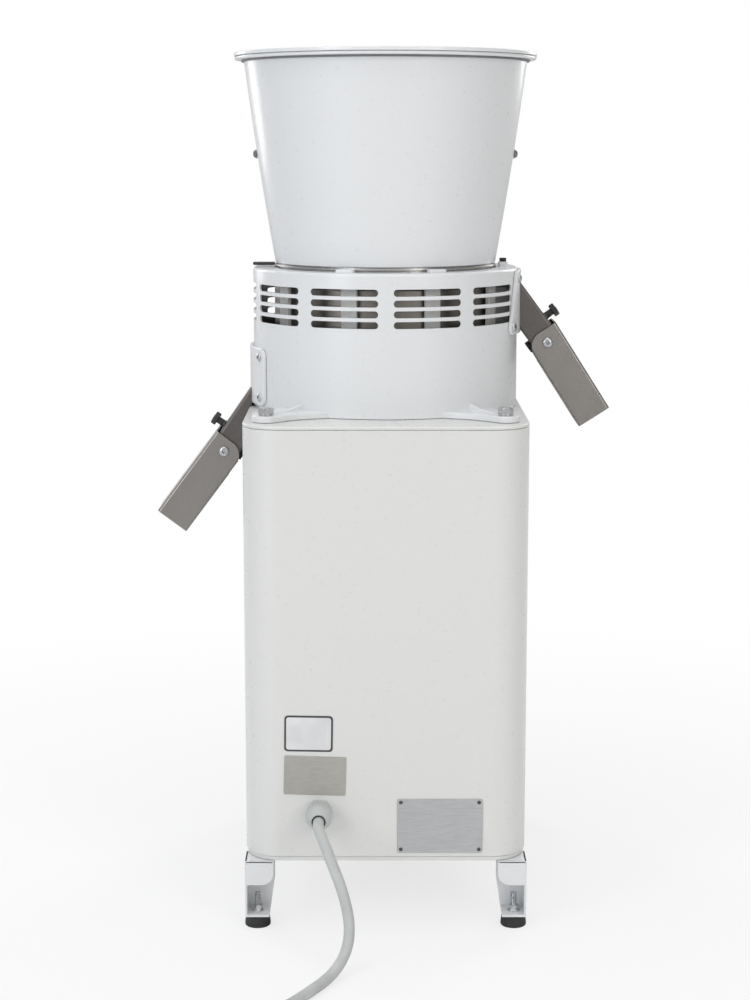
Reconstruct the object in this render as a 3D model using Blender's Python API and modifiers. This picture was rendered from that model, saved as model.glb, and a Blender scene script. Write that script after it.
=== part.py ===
"""Electric grain mill with a round stone housing, a tall hopper and two tilting outlet chutes.

Metres, +Z up. The controls face -Y and the mains cable leaves at the back, +Y.
Every place is measured from the mill's upright axis at floor level, which one empty carries.
"""

import math

import bmesh
import bpy
from mathutils import Matrix, Vector

# Clearances, cutters and facets
CLEARANCE = 0.0003
OVERRUN = 0.002
MERGE = 0.0001
WELD = 0.00001
ROUND_SEGMENTS = 36
HOPPER_SEGMENTS = 36
HOPPER_STEPS = 3
MEDIUM_SEGMENTS = 18
SMALL_SEGMENTS = 12
BOLT_SEGMENTS = 8
CABLE_SEGMENTS = 24
HEXAGON_SIDES = 6
MILLIMETRES = 1000
ARC_POINTS = 4

# Cabinet
CABINET_WIDTH = 0.2734
CABINET_DEPTH = 0.36
CABINET_CORNER_RADIUS = 0.036
CABINET_SHEET = 0.002
SHELL_BOTTOM_Z = 0.074
SHELL_HEIGHT = 0.4163
TOP_PLATE_THICKNESS = 0.0034
BASE_PLATE_THICKNESS = 0.0042
BASE_PLATE_INSET = 0.0012
BASE_VENT_LENGTH = 0.09
BASE_VENT_WIDTH = 0.007
BASE_VENT_PITCH = 0.016
BASE_VENT_COUNT = 7
FRONT_RETURN = 0.018
FRONT_PANEL_THICKNESS = 0.0015
FRONT_PANEL_CORNER_RADIUS = 0.006

# Leg brackets and levelling feet
LEG_WIDTH = 0.028
LEG_DEPTH = 0.03
LEG_SHEET = 0.002
LEG_TAB_DROP = 0.0245
LEG_TAB_RADIUS = 0.013
LEG_FOOT_WIDTH = 0.0235
FOOT_HEIGHT = 0.012
FOOT_RADIUS = 0.0125
FOOT_TOP_RADIUS = 0.0112
FOOT_CHAMFER = 0.0015
FOOT_INSET = 0.0115
FOOT_SETBACK = 0.0145
STUD_RADIUS = 0.003
STUD_LENGTH = 0.0255
NUT_ACROSS = 0.01
NUT_HEIGHT = 0.005

# Mill housing
HOUSING_RADIUS = 0.133
HOUSING_HEIGHT = 0.139
HOUSING_WALL = 0.003
HOUSING_TOP_EDGE = 0.003
HOUSING_FLOOR = 0.004
EAR_REACH_X = 0.114
EAR_REACH_Y = 0.145
EAR_RADIUS = 0.0135
EAR_ROOT_WIDTH = 0.06
EAR_THICKNESS = 0.006
EAR_RIB_THICKNESS = 0.004
EAR_RIB_HEIGHT = 0.022
HOUSING_BOLT_RADIUS = 0.004
HOUSING_BOLT_ACROSS = 0.013
HOUSING_BOLT_HEAD = 0.0055
HOUSING_WASHER_RADIUS = 0.0085
HOUSING_WASHER_THICKNESS = 0.0014
VENT_GROUPS = 10
VENT_ROWS = 4
VENT_ARC = math.radians(29.6)
VENT_HEIGHT = 0.0067
VENT_PITCH = 0.01023
VENT_TOP_DROP = 0.0183

# Milling chamber, stones and adjusting ring
CHAMBER_RADIUS = 0.106
CHAMBER_WALL = 0.002
CHAMBER_TOP_GAP = 0.006
POST_COUNT = 9
POST_RADIUS = 0.1165
POST_WIDTH = 0.016
POST_THICKNESS = 0.004
POST_PHASE = math.radians(22.5)
SIEVE_HEIGHT = 0.066
SIEVE_THICKNESS = 0.002
SIEVE_SLOTS = 12
SIEVE_SLOT_LENGTH = 0.026
SIEVE_SLOT_WIDTH = 0.006
SIEVE_SLOT_RADIUS = 0.068
RING_RADIUS = 0.111
RING_SKIRT = 0.0042
RING_DEPTH = 0.021
RING_WEB = 0.004
RING_RISE = 0.0042
STONE_RADIUS = 0.08
STONE_HEIGHT = 0.027
STONE_EYE_RADIUS = 0.024
STONE_GAP = 0.0006
CARRIER_RADIUS = 0.078
CARRIER_THICKNESS = 0.007
CARRIER_HUB_RADIUS = 0.02
CARRIER_HUB_HEIGHT = 0.008
SWEEPER_COUNT = 3
SWEEPER_REACH = 0.1015
SWEEPER_WIDTH = 0.012
SWEEPER_THICKNESS = 0.003
LOWER_SWEEPER_HEIGHT = 0.03
LEVER_REACH = 0.1335
LEVER_WIDTH = 0.0115
LEVER_THICKNESS = 0.003
LEVER_LIFT = 0.0012
LOCK_REACH = 0.1185
LOCK_WIDTH = 0.009
LOCK_HEIGHT = 0.0045
LOCK_SCREW_RADIUS = 0.0035
LOCK_SCREW_HEAD = 0.0035

# Hopper, guard and lid
HOPPER_BOTTOM_RADIUS = 0.1105
HOPPER_TOP_RADIUS = 0.1405
HOPPER_BULGE = 0.0012
HOPPER_HEIGHT = 0.1985
HOPPER_WALL = 0.002
HOPPER_FLOOR_RISE = 0.03
THROAT_RADIUS = 0.022
RIM_RADIUS = 0.1495
RIM_THICKNESS = 0.0032
LID_THICKNESS = 0.0036
LID_LIP_DROP = 0.004
LID_RECESS_RADIUS = 0.118
LID_RECESS_DEPTH = 0.0014
GUARD_HEIGHT = 0.107
GUARD_WIRE = 0.0025
GUARD_BARS = 7
GUARD_PITCH = 0.03
GUARD_WALL_GAP = 0.0015
GUARD_NUT_RADIUS = 0.0052
GUARD_NUT_LENGTH = 0.005

# Chutes
CHUTE_WIDTH = 0.05
CHUTE_HEIGHT = 0.028
CHUTE_SHEET = 0.0015
CHUTE_PAST_PIVOT = 0.006
SPOUT_WIDTH = 0.0556
SPOUT_HEIGHT = 0.036
SPOUT_BACK = 0.0125
SPOUT_LENGTH = 0.102
SPOUT_EAR_RADIUS = 0.0165
SPOUT_FLOOR_START = 0.016
UPPER_PIVOT_X = -0.1624
UPPER_PIVOT_Z = 0.5586
UPPER_CHUTE_SLOPE = math.radians(53.3)
UPPER_SPOUT_SLOPE = math.radians(57.4)
LOWER_PIVOT_X = 0.1632
LOWER_PIVOT_Z = 0.4484
LOWER_CHUTE_SLOPE = math.radians(55.3)
LOWER_SPOUT_SLOPE = math.radians(53.2)
PIVOT_RADIUS = 0.003
PIVOT_HEAD_RADIUS = 0.0053
PIVOT_HEAD_HEIGHT = 0.0032
PIVOT_COLLAR_RADIUS = 0.0048
PIVOT_COLLAR_THICKNESS = 0.002
KNOB_BACK = 0.0195
KNOB_RADIUS = 0.0067
KNOB_HEIGHT = 0.0055
KNOB_NECK_RADIUS = 0.0035
KNOB_NECK_HEIGHT = 0.008
KNOB_LOBES = 6
KNOB_LOBE_DEPTH = 0.0012
KNOB_SCREW_RADIUS = 0.0022
BUFFER_LENGTH = 0.01
BUFFER_THICKNESS = 0.005
BUFFER_WIDTH = 0.02
BUFFER_BACK = 0.004
FLANGE_THICKNESS = 0.0035
UPPER_FLANGE_HEIGHT = 0.0625
UPPER_FLANGE_TOP_WIDTH = 0.106
UPPER_FLANGE_BOTTOM_WIDTH = 0.128
UPPER_FLANGE_DROP = 0.0025
LOWER_FLANGE_HEIGHT = 0.057
LOWER_FLANGE_WIDTH = 0.129
LOWER_FLANGE_CORNER = 0.009
LOWER_FLANGE_LIFT = 0.004
FLANGE_CORNER = 0.006
PORT_LIP = 0.0035

# Motor and electrics
SHAFT_RADIUS = 0.011
MOTOR_RADIUS = 0.078
MOTOR_HEIGHT = 0.2
MOTOR_FINS = 12
MOTOR_FIN_DEPTH = 0.006
MOTOR_FIN_SHARE = 0.45
MOTOR_FLANGE_RADIUS = 0.098
MOTOR_FLANGE_THICKNESS = 0.012
MOTOR_BOLT_CIRCLE = 0.088
MOTOR_BOLT_COUNT = 4
BEARING_RADIUS = 0.0235
BEARING_WIDTH = 0.015
FAN_COVER_HEIGHT = 0.055
FAN_COVER_WALL = 0.0015
FAN_COVER_SLOTS = 6
FAN_RADIUS = 0.065
FAN_HUB_RADIUS = 0.02
FAN_HEIGHT = 0.028
FAN_BLADES = 7
FAN_BLADE_THICKNESS = 0.003
CAPACITOR_RADIUS = 0.02
CAPACITOR_HEIGHT = 0.09
CAPACITOR_X = -0.085
CAPACITOR_Y = 0.11
SWITCH_Z = 0.385
SWITCH_WIDTH = 0.058
SWITCH_HEIGHT = 0.078
SWITCH_BEZEL = 0.004
SWITCH_BODY_WIDTH = 0.046
SWITCH_BODY_HEIGHT = 0.064
SWITCH_BODY_DEPTH = 0.042
BUTTON_RADIUS = 0.0105
BUTTON_SPACING = 0.03
BUTTON_PROUD = 0.005
BUTTON_TRAVEL = 0.0035
STOP_EXTRA_PROUD = 0.002

# Cable, gland and plug
CABLE_RADIUS = 0.0052
GLAND_X = 0.064
GLAND_Z = 0.12
GLAND_RADIUS = 0.0128
GLAND_HEX_LENGTH = 0.009
GLAND_DOME_LENGTH = 0.024
GLAND_TAPER = 0.0011
GLAND_MOUTH_RADIUS = 0.0078
GLAND_THREAD_RADIUS = 0.0098
GLAND_INNER_LENGTH = 0.012
COIL_X = 0.14
COIL_Y = 0.48
COIL_RADIUS = 0.0575
COIL_TURNS_PER_LAYER = 2
COIL_STEP = 0.0118
COIL_LAYER_RISE = 0.0112
COIL_EXIT = 0.019
COIL_SIDEWAYS = 0.0015
COIL_POINTS_PER_TURN = 24
TIE_WIDTH = 0.01
TIE_THICKNESS = 0.0008
PLUG_LENGTH = 0.05
PLUG_NECK_RADIUS = 0.0078
PLUG_CABLE_END_RADIUS = 0.0068
PLUG_PIN_RADIUS = 0.0024
PLUG_PIN_LENGTH = 0.019
PLUG_PIN_SPACING = 0.019

# Heights and places that follow from the sizes above
SHELL_TOP_Z = SHELL_BOTTOM_Z + SHELL_HEIGHT
CABINET_TOP_Z = SHELL_TOP_Z + CLEARANCE + TOP_PLATE_THICKNESS
BASE_TOP_Z = SHELL_BOTTOM_Z - CLEARANCE
BASE_BOTTOM_Z = BASE_TOP_Z - BASE_PLATE_THICKNESS
LEG_TOP_Z = BASE_BOTTOM_Z - CLEARANCE
LEG_FOOT_Z = FOOT_HEIGHT + CLEARANCE
HOUSING_BOTTOM_Z = CABINET_TOP_Z + CLEARANCE
HOUSING_TOP_Z = HOUSING_BOTTOM_Z + HOUSING_HEIGHT
RING_TOP_Z = HOUSING_TOP_Z + RING_RISE
RING_OPENING_RADIUS = RING_RADIUS + 2 * CLEARANCE
RING_EYE_RADIUS = THROAT_RADIUS + HOPPER_WALL + CLEARANCE
CHAMBER_BOTTOM_Z = CABINET_TOP_Z + CLEARANCE
CHAMBER_TOP_Z = RING_TOP_Z - RING_WEB - CHAMBER_TOP_GAP
SIEVE_BOTTOM_Z = CHAMBER_BOTTOM_Z + SIEVE_HEIGHT
BED_STONE_TOP_Z = RING_TOP_Z - RING_WEB - CLEARANCE
BED_STONE_BOTTOM_Z = BED_STONE_TOP_Z - STONE_HEIGHT
RUNNER_TOP_Z = BED_STONE_BOTTOM_Z - STONE_GAP
RUNNER_BOTTOM_Z = RUNNER_TOP_Z - STONE_HEIGHT
CARRIER_TOP_Z = RUNNER_BOTTOM_Z - CLEARANCE
CARRIER_BOTTOM_Z = CARRIER_TOP_Z - CARRIER_THICKNESS
SHAFT_TOP_Z = RUNNER_TOP_Z - STONE_HEIGHT / 3
HOPPER_BOTTOM_Z = RING_TOP_Z + CLEARANCE
HOPPER_TOP_Z = HOPPER_BOTTOM_Z + HOPPER_HEIGHT
RIM_TOP_Z = HOPPER_TOP_Z + RIM_THICKNESS
LID_BOTTOM_Z = RIM_TOP_Z + CLEARANCE
GUARD_Z = HOPPER_BOTTOM_Z + GUARD_HEIGHT
MOTOR_FLANGE_TOP_Z = SHELL_TOP_Z
MOTOR_FLANGE_BOTTOM_Z = MOTOR_FLANGE_TOP_Z - MOTOR_FLANGE_THICKNESS
MOTOR_BOTTOM_Z = MOTOR_FLANGE_BOTTOM_Z - MOTOR_HEIGHT
FAN_COVER_TOP_Z = MOTOR_BOTTOM_Z - CLEARANCE
SHAFT_BOTTOM_Z = FAN_COVER_TOP_Z - FAN_COVER_HEIGHT + 4 * FAN_COVER_WALL
SHAFT_HOLE_RADIUS = SHAFT_RADIUS + 2 * CLEARANCE
FRONT_Y = -CABINET_DEPTH / 2
BACK_Y = CABINET_DEPTH / 2
PANEL_FRONT_Y = FRONT_Y - CLEARANCE - FRONT_PANEL_THICKNESS
BEZEL_FRONT_Y = PANEL_FRONT_Y - CLEARANCE - SWITCH_BEZEL
FRONT_REACH = FRONT_Y - BEZEL_FRONT_Y + BUTTON_PROUD + STOP_EXTRA_PROUD


def spout_reach(pivot_x, slope):
    """How far out the lower outside corner of a spout stands."""
    end = SPOUT_LENGTH - SPOUT_BACK
    return abs(pivot_x) + end * math.cos(slope) + SPOUT_HEIGHT / 2 * math.sin(slope)


# The frame's origin is the middle of the footprint, so the mill's axis stands a little off it
AXIS_X = (spout_reach(UPPER_PIVOT_X, UPPER_SPOUT_SLOPE) - spout_reach(LOWER_PIVOT_X, LOWER_SPOUT_SLOPE)) / 2
AXIS_Y = FRONT_REACH / 2

PLANES = {
    "XY": Matrix.Identity(4),
    "XZ": Matrix.Rotation(math.pi / 2, 4, "X"),
    "YZ": Matrix(((0, 0, 1, 0), (1, 0, 0, 0), (0, 1, 0, 0), (0, 0, 0, 1))),
}
SHARP_ANGLE = math.radians(35)
UPPER_SIDE_TURN = math.pi / 2
DOME_SHARE = 0.7
FIN_ROOT_SHARE = 0.25
PLUG_FACE_SHARE = 0.92

WHITE_PAINT = ((0.8, 0.81, 0.82), 0.25, 0)
STAINLESS = ((0.36, 0.34, 0.32), 0.35, 1)
ZINC = ((0.6, 0.6, 0.6), 0.35, 1)
CAST = ((0.3, 0.31, 0.32), 0.5, 0.6)
STONE = ((0.55, 0.5, 0.44), 0.9, 0)
BLACK_RUBBER = ((0.02, 0.02, 0.02), 0.8, 0)
BLACK_PLASTIC = ((0.02, 0.02, 0.02), 0.4, 0)
GREY_PLASTIC = ((0.55, 0.57, 0.57), 0.45, 0)
CABLE_GREY = ((0.48, 0.52, 0.51), 0.5, 0)
GREEN_PLASTIC = ((0.03, 0.35, 0.1), 0.35, 0)
RED_PLASTIC = ((0.55, 0.02, 0.02), 0.35, 0)


def clear_scene():
    for old in list(bpy.data.objects):
        bpy.data.objects.remove(old, do_unlink=True)


def make_collection(name, hidden=False):
    collection = bpy.data.collections.new(name)
    collection.hide_render = hidden
    bpy.context.scene.collection.children.link(collection)
    return collection


clear_scene()
PARTS = make_collection("electric_grain_mill")
CUTTERS = make_collection("cutters", hidden=True)
MILL_AXIS = bpy.data.objects.new("mill_axis", None)
MILL_AXIS.location = (AXIS_X, AXIS_Y, 0)
PARTS.objects.link(MILL_AXIS)


def make_material(name, look):
    colour, roughness, metallic = look
    material = bpy.data.materials.new(name)
    material.use_nodes = True
    shader = material.node_tree.nodes["Principled BSDF"]
    shader.inputs["Base Color"].default_value = (*colour, 1)
    shader.inputs["Roughness"].default_value = roughness
    shader.inputs["Metallic"].default_value = metallic
    return material


def add_part(name, mesh, look, location=(0, 0, 0), rotation=(0, 0, 0)):
    """Places a mesh as one named piece, measured from the mill's axis."""
    mesh.name = name
    mesh.materials.clear()
    mesh.materials.append(make_material(name, look))
    mesh.shade_smooth()
    mesh.set_sharp_from_angle(angle=SHARP_ANGLE)
    part = bpy.data.objects.new(name, mesh)
    PARTS.objects.link(part)
    part.parent = MILL_AXIS
    part.location = location
    part.rotation_euler = rotation
    return part


def boolean(part, mesh, operation, location=(0, 0, 0), rotation=(0, 0, 0)):
    """Cuts or joins a mesh, placed in the part's own frame, with an exact Boolean."""
    tool = bpy.data.objects.new(part.name + "_" + operation.lower(), mesh)
    CUTTERS.objects.link(tool)
    tool.parent = part
    tool.location = location
    tool.rotation_euler = rotation
    tool.hide_render = True
    tool.display_type = "WIRE"
    modifier = part.modifiers.new(operation.title(), "BOOLEAN")
    modifier.operation = operation
    modifier.object = tool
    modifier.solver = "EXACT"
    return tool


def cut(part, mesh, location=(0, 0, 0), rotation=(0, 0, 0)):
    return boolean(part, mesh, "DIFFERENCE", location, rotation)


def join(part, mesh, location=(0, 0, 0), rotation=(0, 0, 0)):
    return boolean(part, mesh, "UNION", location, rotation)


def as_mesh(holder):
    """The evaluated, welded mesh of a helper object, which is removed."""
    bpy.context.scene.collection.objects.link(holder)
    graph = bpy.context.evaluated_depsgraph_get()
    mesh = bpy.data.meshes.new_from_object(holder.evaluated_get(graph))
    bpy.data.objects.remove(holder, do_unlink=True)
    welded = bmesh.new()
    welded.from_mesh(mesh)
    bmesh.ops.remove_doubles(welded, verts=welded.verts, dist=WELD)
    welded.to_mesh(mesh)
    welded.free()
    return mesh


def plate(outlines, thickness, plane="XY"):
    """A flat sheet: the first outline is its edge, the others are holes."""
    curve = bpy.data.curves.new("outline", "CURVE")
    curve.dimensions = "2D"
    curve.fill_mode = "BOTH"
    curve.extrude = thickness / 2
    for outline in outlines:
        spline = curve.splines.new("POLY")
        spline.points.add(len(outline) - 1)
        for point, (x, y) in zip(spline.points, outline):
            point.co = (x, y, 0, 1)
        spline.use_cyclic_u = True
    mesh = as_mesh(bpy.data.objects.new("outline", curve))
    mesh.transform(PLANES[plane])
    return mesh


def turned(profile, segments=ROUND_SEGMENTS, closed=False):
    """A profile of (radius, height) points, listed down its outer side, turned about Z."""
    mesh = bpy.data.meshes.new("profile")
    edges = [(i, i + 1) for i in range(len(profile) - 1)]
    if closed:
        edges.append((len(profile) - 1, 0))
    mesh.from_pydata([(radius, 0, height) for radius, height in profile], edges, [])
    holder = bpy.data.objects.new("profile", mesh)
    screw = holder.modifiers.new("Turn", "SCREW")
    screw.steps = segments
    screw.render_steps = segments
    screw.use_merge_vertices = True
    screw.merge_threshold = MERGE
    return as_mesh(holder)


def ring(outer, inner, bottom, top, segments=ROUND_SEGMENTS):
    return turned([(outer, top), (outer, bottom), (inner, bottom), (inner, top)], segments, closed=True)


def disc(radius, bottom, top, segments=SMALL_SEGMENTS):
    return turned([(0, top), (radius, top), (radius, bottom), (0, bottom)], segments)


def box(width, depth, height):
    mesh = bpy.data.meshes.new("box")
    shape = bmesh.new()
    bmesh.ops.create_cube(shape, size=1)
    bmesh.ops.scale(shape, vec=(width, depth, height), verts=shape.verts)
    shape.to_mesh(mesh)
    shape.free()
    return mesh


def moved(mesh, location=(0, 0, 0), rotation=(0, 0, 0)):
    """The mesh turned about its own origin and then moved."""
    turn = Matrix.LocRotScale(Vector(location), euler_turn(rotation), None)
    mesh.transform(turn)
    return mesh


def euler_turn(rotation):
    x, y, z = rotation
    turn = Matrix.Rotation(z, 3, "Z") @ Matrix.Rotation(y, 3, "Y") @ Matrix.Rotation(x, 3, "X")
    return turn.to_quaternion()


def group(meshes):
    """Several separate solids in one mesh."""
    joined = bmesh.new()
    for mesh in meshes:
        joined.from_mesh(mesh)
    result = bpy.data.meshes.new("group")
    joined.to_mesh(result)
    joined.free()
    return result


def arc(centre, radius, start, end, points=ARC_POINTS):
    """Points on an arc from one angle to another, in radians."""
    return [
        (
            centre[0] + radius * math.cos(start + (end - start) * i / (points - 1)),
            centre[1] + radius * math.sin(start + (end - start) * i / (points - 1)),
        )
        for i in range(points)
    ]


def rounded_rectangle(width, depth, radius, points=ARC_POINTS, centre=(0, 0)):
    x, y = width / 2 - radius, depth / 2 - radius
    corners = [(x, y, 0), (-x, y, 1), (-x, -y, 2), (x, -y, 3)]
    outline = []
    for corner_x, corner_y, quarter in corners:
        start = quarter * math.pi / 2
        middle = (centre[0] + corner_x, centre[1] + corner_y)
        outline += arc(middle, radius, start, start + math.pi / 2, points)
    return outline


def circle(radius, centre=(0, 0), points=SMALL_SEGMENTS):
    return arc(centre, radius, 0, math.tau * (points - 1) / points, points)


def hole(radius, centre=(0, 0), points=SMALL_SEGMENTS):
    """A faceted hole whose flats, not its corners, stand at the radius."""
    return circle(radius / math.cos(math.pi / points), centre, points)


def rectangle(width, height, centre=(0, 0)):
    x, y = width / 2, height / 2
    return [(centre[0] + x * i, centre[1] + y * j) for i, j in ((1, 1), (-1, 1), (-1, -1), (1, -1))]


def slot(length, width, centre=(0, 0), points=3):
    """A slot with round ends, long along its first axis."""
    reach = (length - width) / 2
    right = arc((centre[0] + reach, centre[1]), width / 2, -math.pi / 2, math.pi / 2, points)
    left = arc((centre[0] - reach, centre[1]), width / 2, math.pi / 2, 3 * math.pi / 2, points)
    return right + left


def fastener(head_radius, head_height, shank_radius, shank_length, segments=BOLT_SEGMENTS):
    """A headed screw pointing down, with its origin under the head."""
    profile = [
        (0, head_height),
        (head_radius, head_height),
        (head_radius, 0),
        (shank_radius, 0),
        (shank_radius, -shank_length),
        (0, -shank_length),
    ]
    return turned(profile, segments)


def hexagon(across, centre=(0, 0)):
    return circle(across / math.sqrt(3), centre, HEXAGON_SIDES)


def corner_places(x, y):
    """The four mirrored corners, with a name for each."""
    return {
        "back_left": (x, y),
        "back_right": (-x, y),
        "front_left": (x, -y),
        "front_right": (-x, -y),
    }


def cabinet_outline(inset=0):
    return rounded_rectangle(
        CABINET_WIDTH - 2 * inset, CABINET_DEPTH - 2 * inset, CABINET_CORNER_RADIUS - inset, ARC_POINTS + 2
    )


def build_cabinet():
    """A wrapped sheet shell, closed in front by a screwed panel, with plates above and below."""
    shell = add_part(
        "cabinet_shell",
        plate([cabinet_outline(), cabinet_outline(CABINET_SHEET)], SHELL_HEIGHT),
        WHITE_PAINT,
        (0, 0, SHELL_BOTTOM_Z + SHELL_HEIGHT / 2),
    )
    opening_width = CABINET_WIDTH - 2 * CABINET_CORNER_RADIUS - 2 * FRONT_RETURN
    opening_height = SHELL_HEIGHT - 2 * FRONT_RETURN
    cut(shell, box(opening_width, 2 * CABINET_CORNER_RADIUS, opening_height), (0, FRONT_Y, 0))
    cut(
        shell,
        plate([hole(GLAND_THREAD_RADIUS + CLEARANCE)], 2 * CABINET_SHEET + OVERRUN, "XZ"),
        (GLAND_X, BACK_Y - CABINET_SHEET / 2, GLAND_Z - SHELL_BOTTOM_Z - SHELL_HEIGHT / 2),
    )
    build_front_panel(opening_width, opening_height)
    shaft_hole = hole(SHAFT_HOLE_RADIUS, points=MEDIUM_SEGMENTS)
    add_part(
        "top_plate",
        plate([cabinet_outline(), shaft_hole], TOP_PLATE_THICKNESS),
        WHITE_PAINT,
        (0, 0, SHELL_TOP_Z + CLEARANCE + TOP_PLATE_THICKNESS / 2),
    )
    vents = [
        slot(BASE_VENT_LENGTH, BASE_VENT_WIDTH, (0, (i - (BASE_VENT_COUNT - 1) / 2) * BASE_VENT_PITCH))
        for i in range(BASE_VENT_COUNT)
    ]
    add_part(
        "base_plate",
        plate([cabinet_outline(BASE_PLATE_INSET)] + vents, BASE_PLATE_THICKNESS),
        WHITE_PAINT,
        (0, 0, BASE_TOP_Z - BASE_PLATE_THICKNESS / 2),
    )


def build_front_panel(opening_width, opening_height):
    """A flat panel screwed over the shell's front opening, with the hole for the switch."""
    panel_width = opening_width + FRONT_RETURN
    panel_height = opening_height + FRONT_RETURN
    centre_z = SHELL_BOTTOM_Z + SHELL_HEIGHT / 2
    middle_y = FRONT_Y - CLEARANCE - FRONT_PANEL_THICKNESS / 2
    switch_hole = rectangle(
        SWITCH_BODY_WIDTH + 2 * CLEARANCE, SWITCH_BODY_HEIGHT + 2 * CLEARANCE, (0, SWITCH_Z - centre_z)
    )
    outlines = [rounded_rectangle(panel_width, panel_height, FRONT_PANEL_CORNER_RADIUS), switch_hole]
    panel = plate(outlines, FRONT_PANEL_THICKNESS, "XZ")
    add_part("front_panel", panel, WHITE_PAINT, (0, middle_y, centre_z))


def leg_mesh(side_x, side_y, centre_y):
    """A bent sheet bracket: side web, short outer tab, tapered inner flange and foot plate."""
    height = LEG_TOP_Z - LEG_FOOT_Z
    outer_x = side_x * CABINET_WIDTH / 2
    web = moved(
        box(LEG_SHEET, LEG_DEPTH, height),
        (outer_x - side_x * LEG_SHEET / 2, centre_y, LEG_FOOT_Z + height / 2),
    )
    lower = [(0, LEG_TAB_DROP), (0, 0), (LEG_WIDTH, 0)]
    tab_corner = (LEG_WIDTH - LEG_TAB_RADIUS, LEG_TAB_DROP - LEG_TAB_RADIUS)
    rounded = arc(tab_corner, LEG_TAB_RADIUS, 0, math.pi / 2)
    tab_outline = [(outer_x - side_x * x, LEG_TOP_Z - z) for x, z in lower + rounded]
    tab = moved(
        plate([tab_outline], LEG_SHEET, "XZ"), (0, centre_y + side_y * (LEG_DEPTH - LEG_SHEET) / 2, 0)
    )
    flange_outline = [
        (0, 0),
        (LEG_WIDTH, 0),
        (LEG_WIDTH, LEG_TAB_DROP),
        (LEG_FOOT_WIDTH, height),
        (0, height),
    ]
    flange_outline = [(outer_x - side_x * x, LEG_TOP_Z - z) for x, z in flange_outline]
    flange = moved(
        plate([flange_outline], LEG_SHEET, "XZ"), (0, centre_y - side_y * (LEG_DEPTH - LEG_SHEET) / 2, 0)
    )
    return web, tab, flange


def build_legs():
    foot_x = CABINET_WIDTH / 2 - FOOT_INSET
    foot_y = CABINET_DEPTH / 2 - FOOT_SETBACK
    for name, (x, y) in corner_places(foot_x, foot_y).items():
        side_x, side_y = math.copysign(1, x), math.copysign(1, y)
        centre_y = y - side_y * (LEG_DEPTH / 2 - FOOT_SETBACK)
        web, tab, flange = leg_mesh(side_x, side_y, centre_y)
        leg = add_part("leg_" + name, web, WHITE_PAINT)
        join(leg, tab)
        join(leg, flange)
        outer_x = side_x * CABINET_WIDTH / 2
        floor_outline = [
            (outer_x, centre_y - LEG_DEPTH / 2),
            (outer_x, centre_y + LEG_DEPTH / 2),
            (outer_x - side_x * LEG_FOOT_WIDTH, centre_y + LEG_DEPTH / 2),
            (outer_x - side_x * LEG_FOOT_WIDTH, centre_y - LEG_DEPTH / 2),
        ]
        stud_hole = hole(STUD_RADIUS + CLEARANCE, (x, y), BOLT_SEGMENTS)
        join(leg, moved(plate([floor_outline, stud_hole], LEG_SHEET), (0, 0, LEG_FOOT_Z + LEG_SHEET / 2)))
        roof_outline = [
            (outer_x, centre_y - LEG_DEPTH / 2),
            (outer_x, centre_y + LEG_DEPTH / 2),
            (outer_x - side_x * LEG_WIDTH, centre_y + LEG_DEPTH / 2),
            (outer_x - side_x * LEG_WIDTH, centre_y - LEG_DEPTH / 2),
        ]
        join(leg, moved(plate([roof_outline], LEG_SHEET), (0, 0, LEG_TOP_Z - LEG_SHEET / 2)))
        join(leg, foot_nut(x, y))
        build_foot(name, x, y)


def build_foot(name, x, y):
    """A levelling foot: a rubber pad moulded on the head of a threaded stud."""
    profile = [
        (0, FOOT_HEIGHT + STUD_LENGTH),
        (STUD_RADIUS, FOOT_HEIGHT + STUD_LENGTH),
        (STUD_RADIUS, FOOT_HEIGHT),
        (FOOT_TOP_RADIUS, FOOT_HEIGHT),
        (FOOT_RADIUS, FOOT_HEIGHT / 4),
        (FOOT_RADIUS - FOOT_CHAMFER, 0),
        (0, 0),
    ]
    add_part("levelling_foot_" + name, turned(profile, SMALL_SEGMENTS), BLACK_RUBBER, (x, y, 0))


def foot_nut(x, y):
    """The lock nut that stands on the foot plate."""
    bottom = LEG_FOOT_Z + LEG_SHEET / 2
    height = LEG_SHEET / 2 + NUT_HEIGHT
    stud_hole = hole(STUD_RADIUS + CLEARANCE, points=BOLT_SEGMENTS)
    return moved(plate([hexagon(NUT_ACROSS), stud_hole], height), (x, y, bottom + height / 2))


def vent_cutters():
    """Groups of round-ended slots, a gap between two of them at the back, none under the upper flange."""
    slot_width = 2 * HOUSING_RADIUS * math.sin(VENT_ARC / 2)
    depth = 2 * (HOUSING_RADIUS - (HOUSING_RADIUS - HOUSING_WALL) * math.cos(VENT_ARC / 2)) + OVERRUN
    cutters = []
    for group_index in range(VENT_GROUPS):
        turn = math.tau * (group_index + 1 / 2) / VENT_GROUPS
        if abs(turn - UPPER_SIDE_TURN) < VENT_ARC / 2:
            continue
        for row in range(VENT_ROWS):
            height = HOUSING_TOP_Z - VENT_TOP_DROP - row * VENT_PITCH
            cutter = plate([slot(slot_width, VENT_HEIGHT)], depth, "XZ")
            cutters.append(moved(moved(cutter, (0, HOUSING_RADIUS, height)), (0, 0, 0), (0, 0, turn)))
    return group(cutters)


def ear_outline(x, y):
    """A tongue from the drum to a corner of the cabinet."""
    direction = math.atan2(y, x)
    root = HOUSING_RADIUS - EAR_RADIUS
    across = direction + math.pi / 2
    half = EAR_ROOT_WIDTH / 2
    start = (root * math.cos(direction), root * math.sin(direction))
    tip = arc((x, y), EAR_RADIUS, direction - math.pi / 2, direction + math.pi / 2, 2 * ARC_POINTS - 1)
    right = (start[0] - half * math.cos(across), start[1] - half * math.sin(across))
    left = (start[0] + half * math.cos(across), start[1] + half * math.sin(across))
    return [right] + tip + [left]


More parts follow.
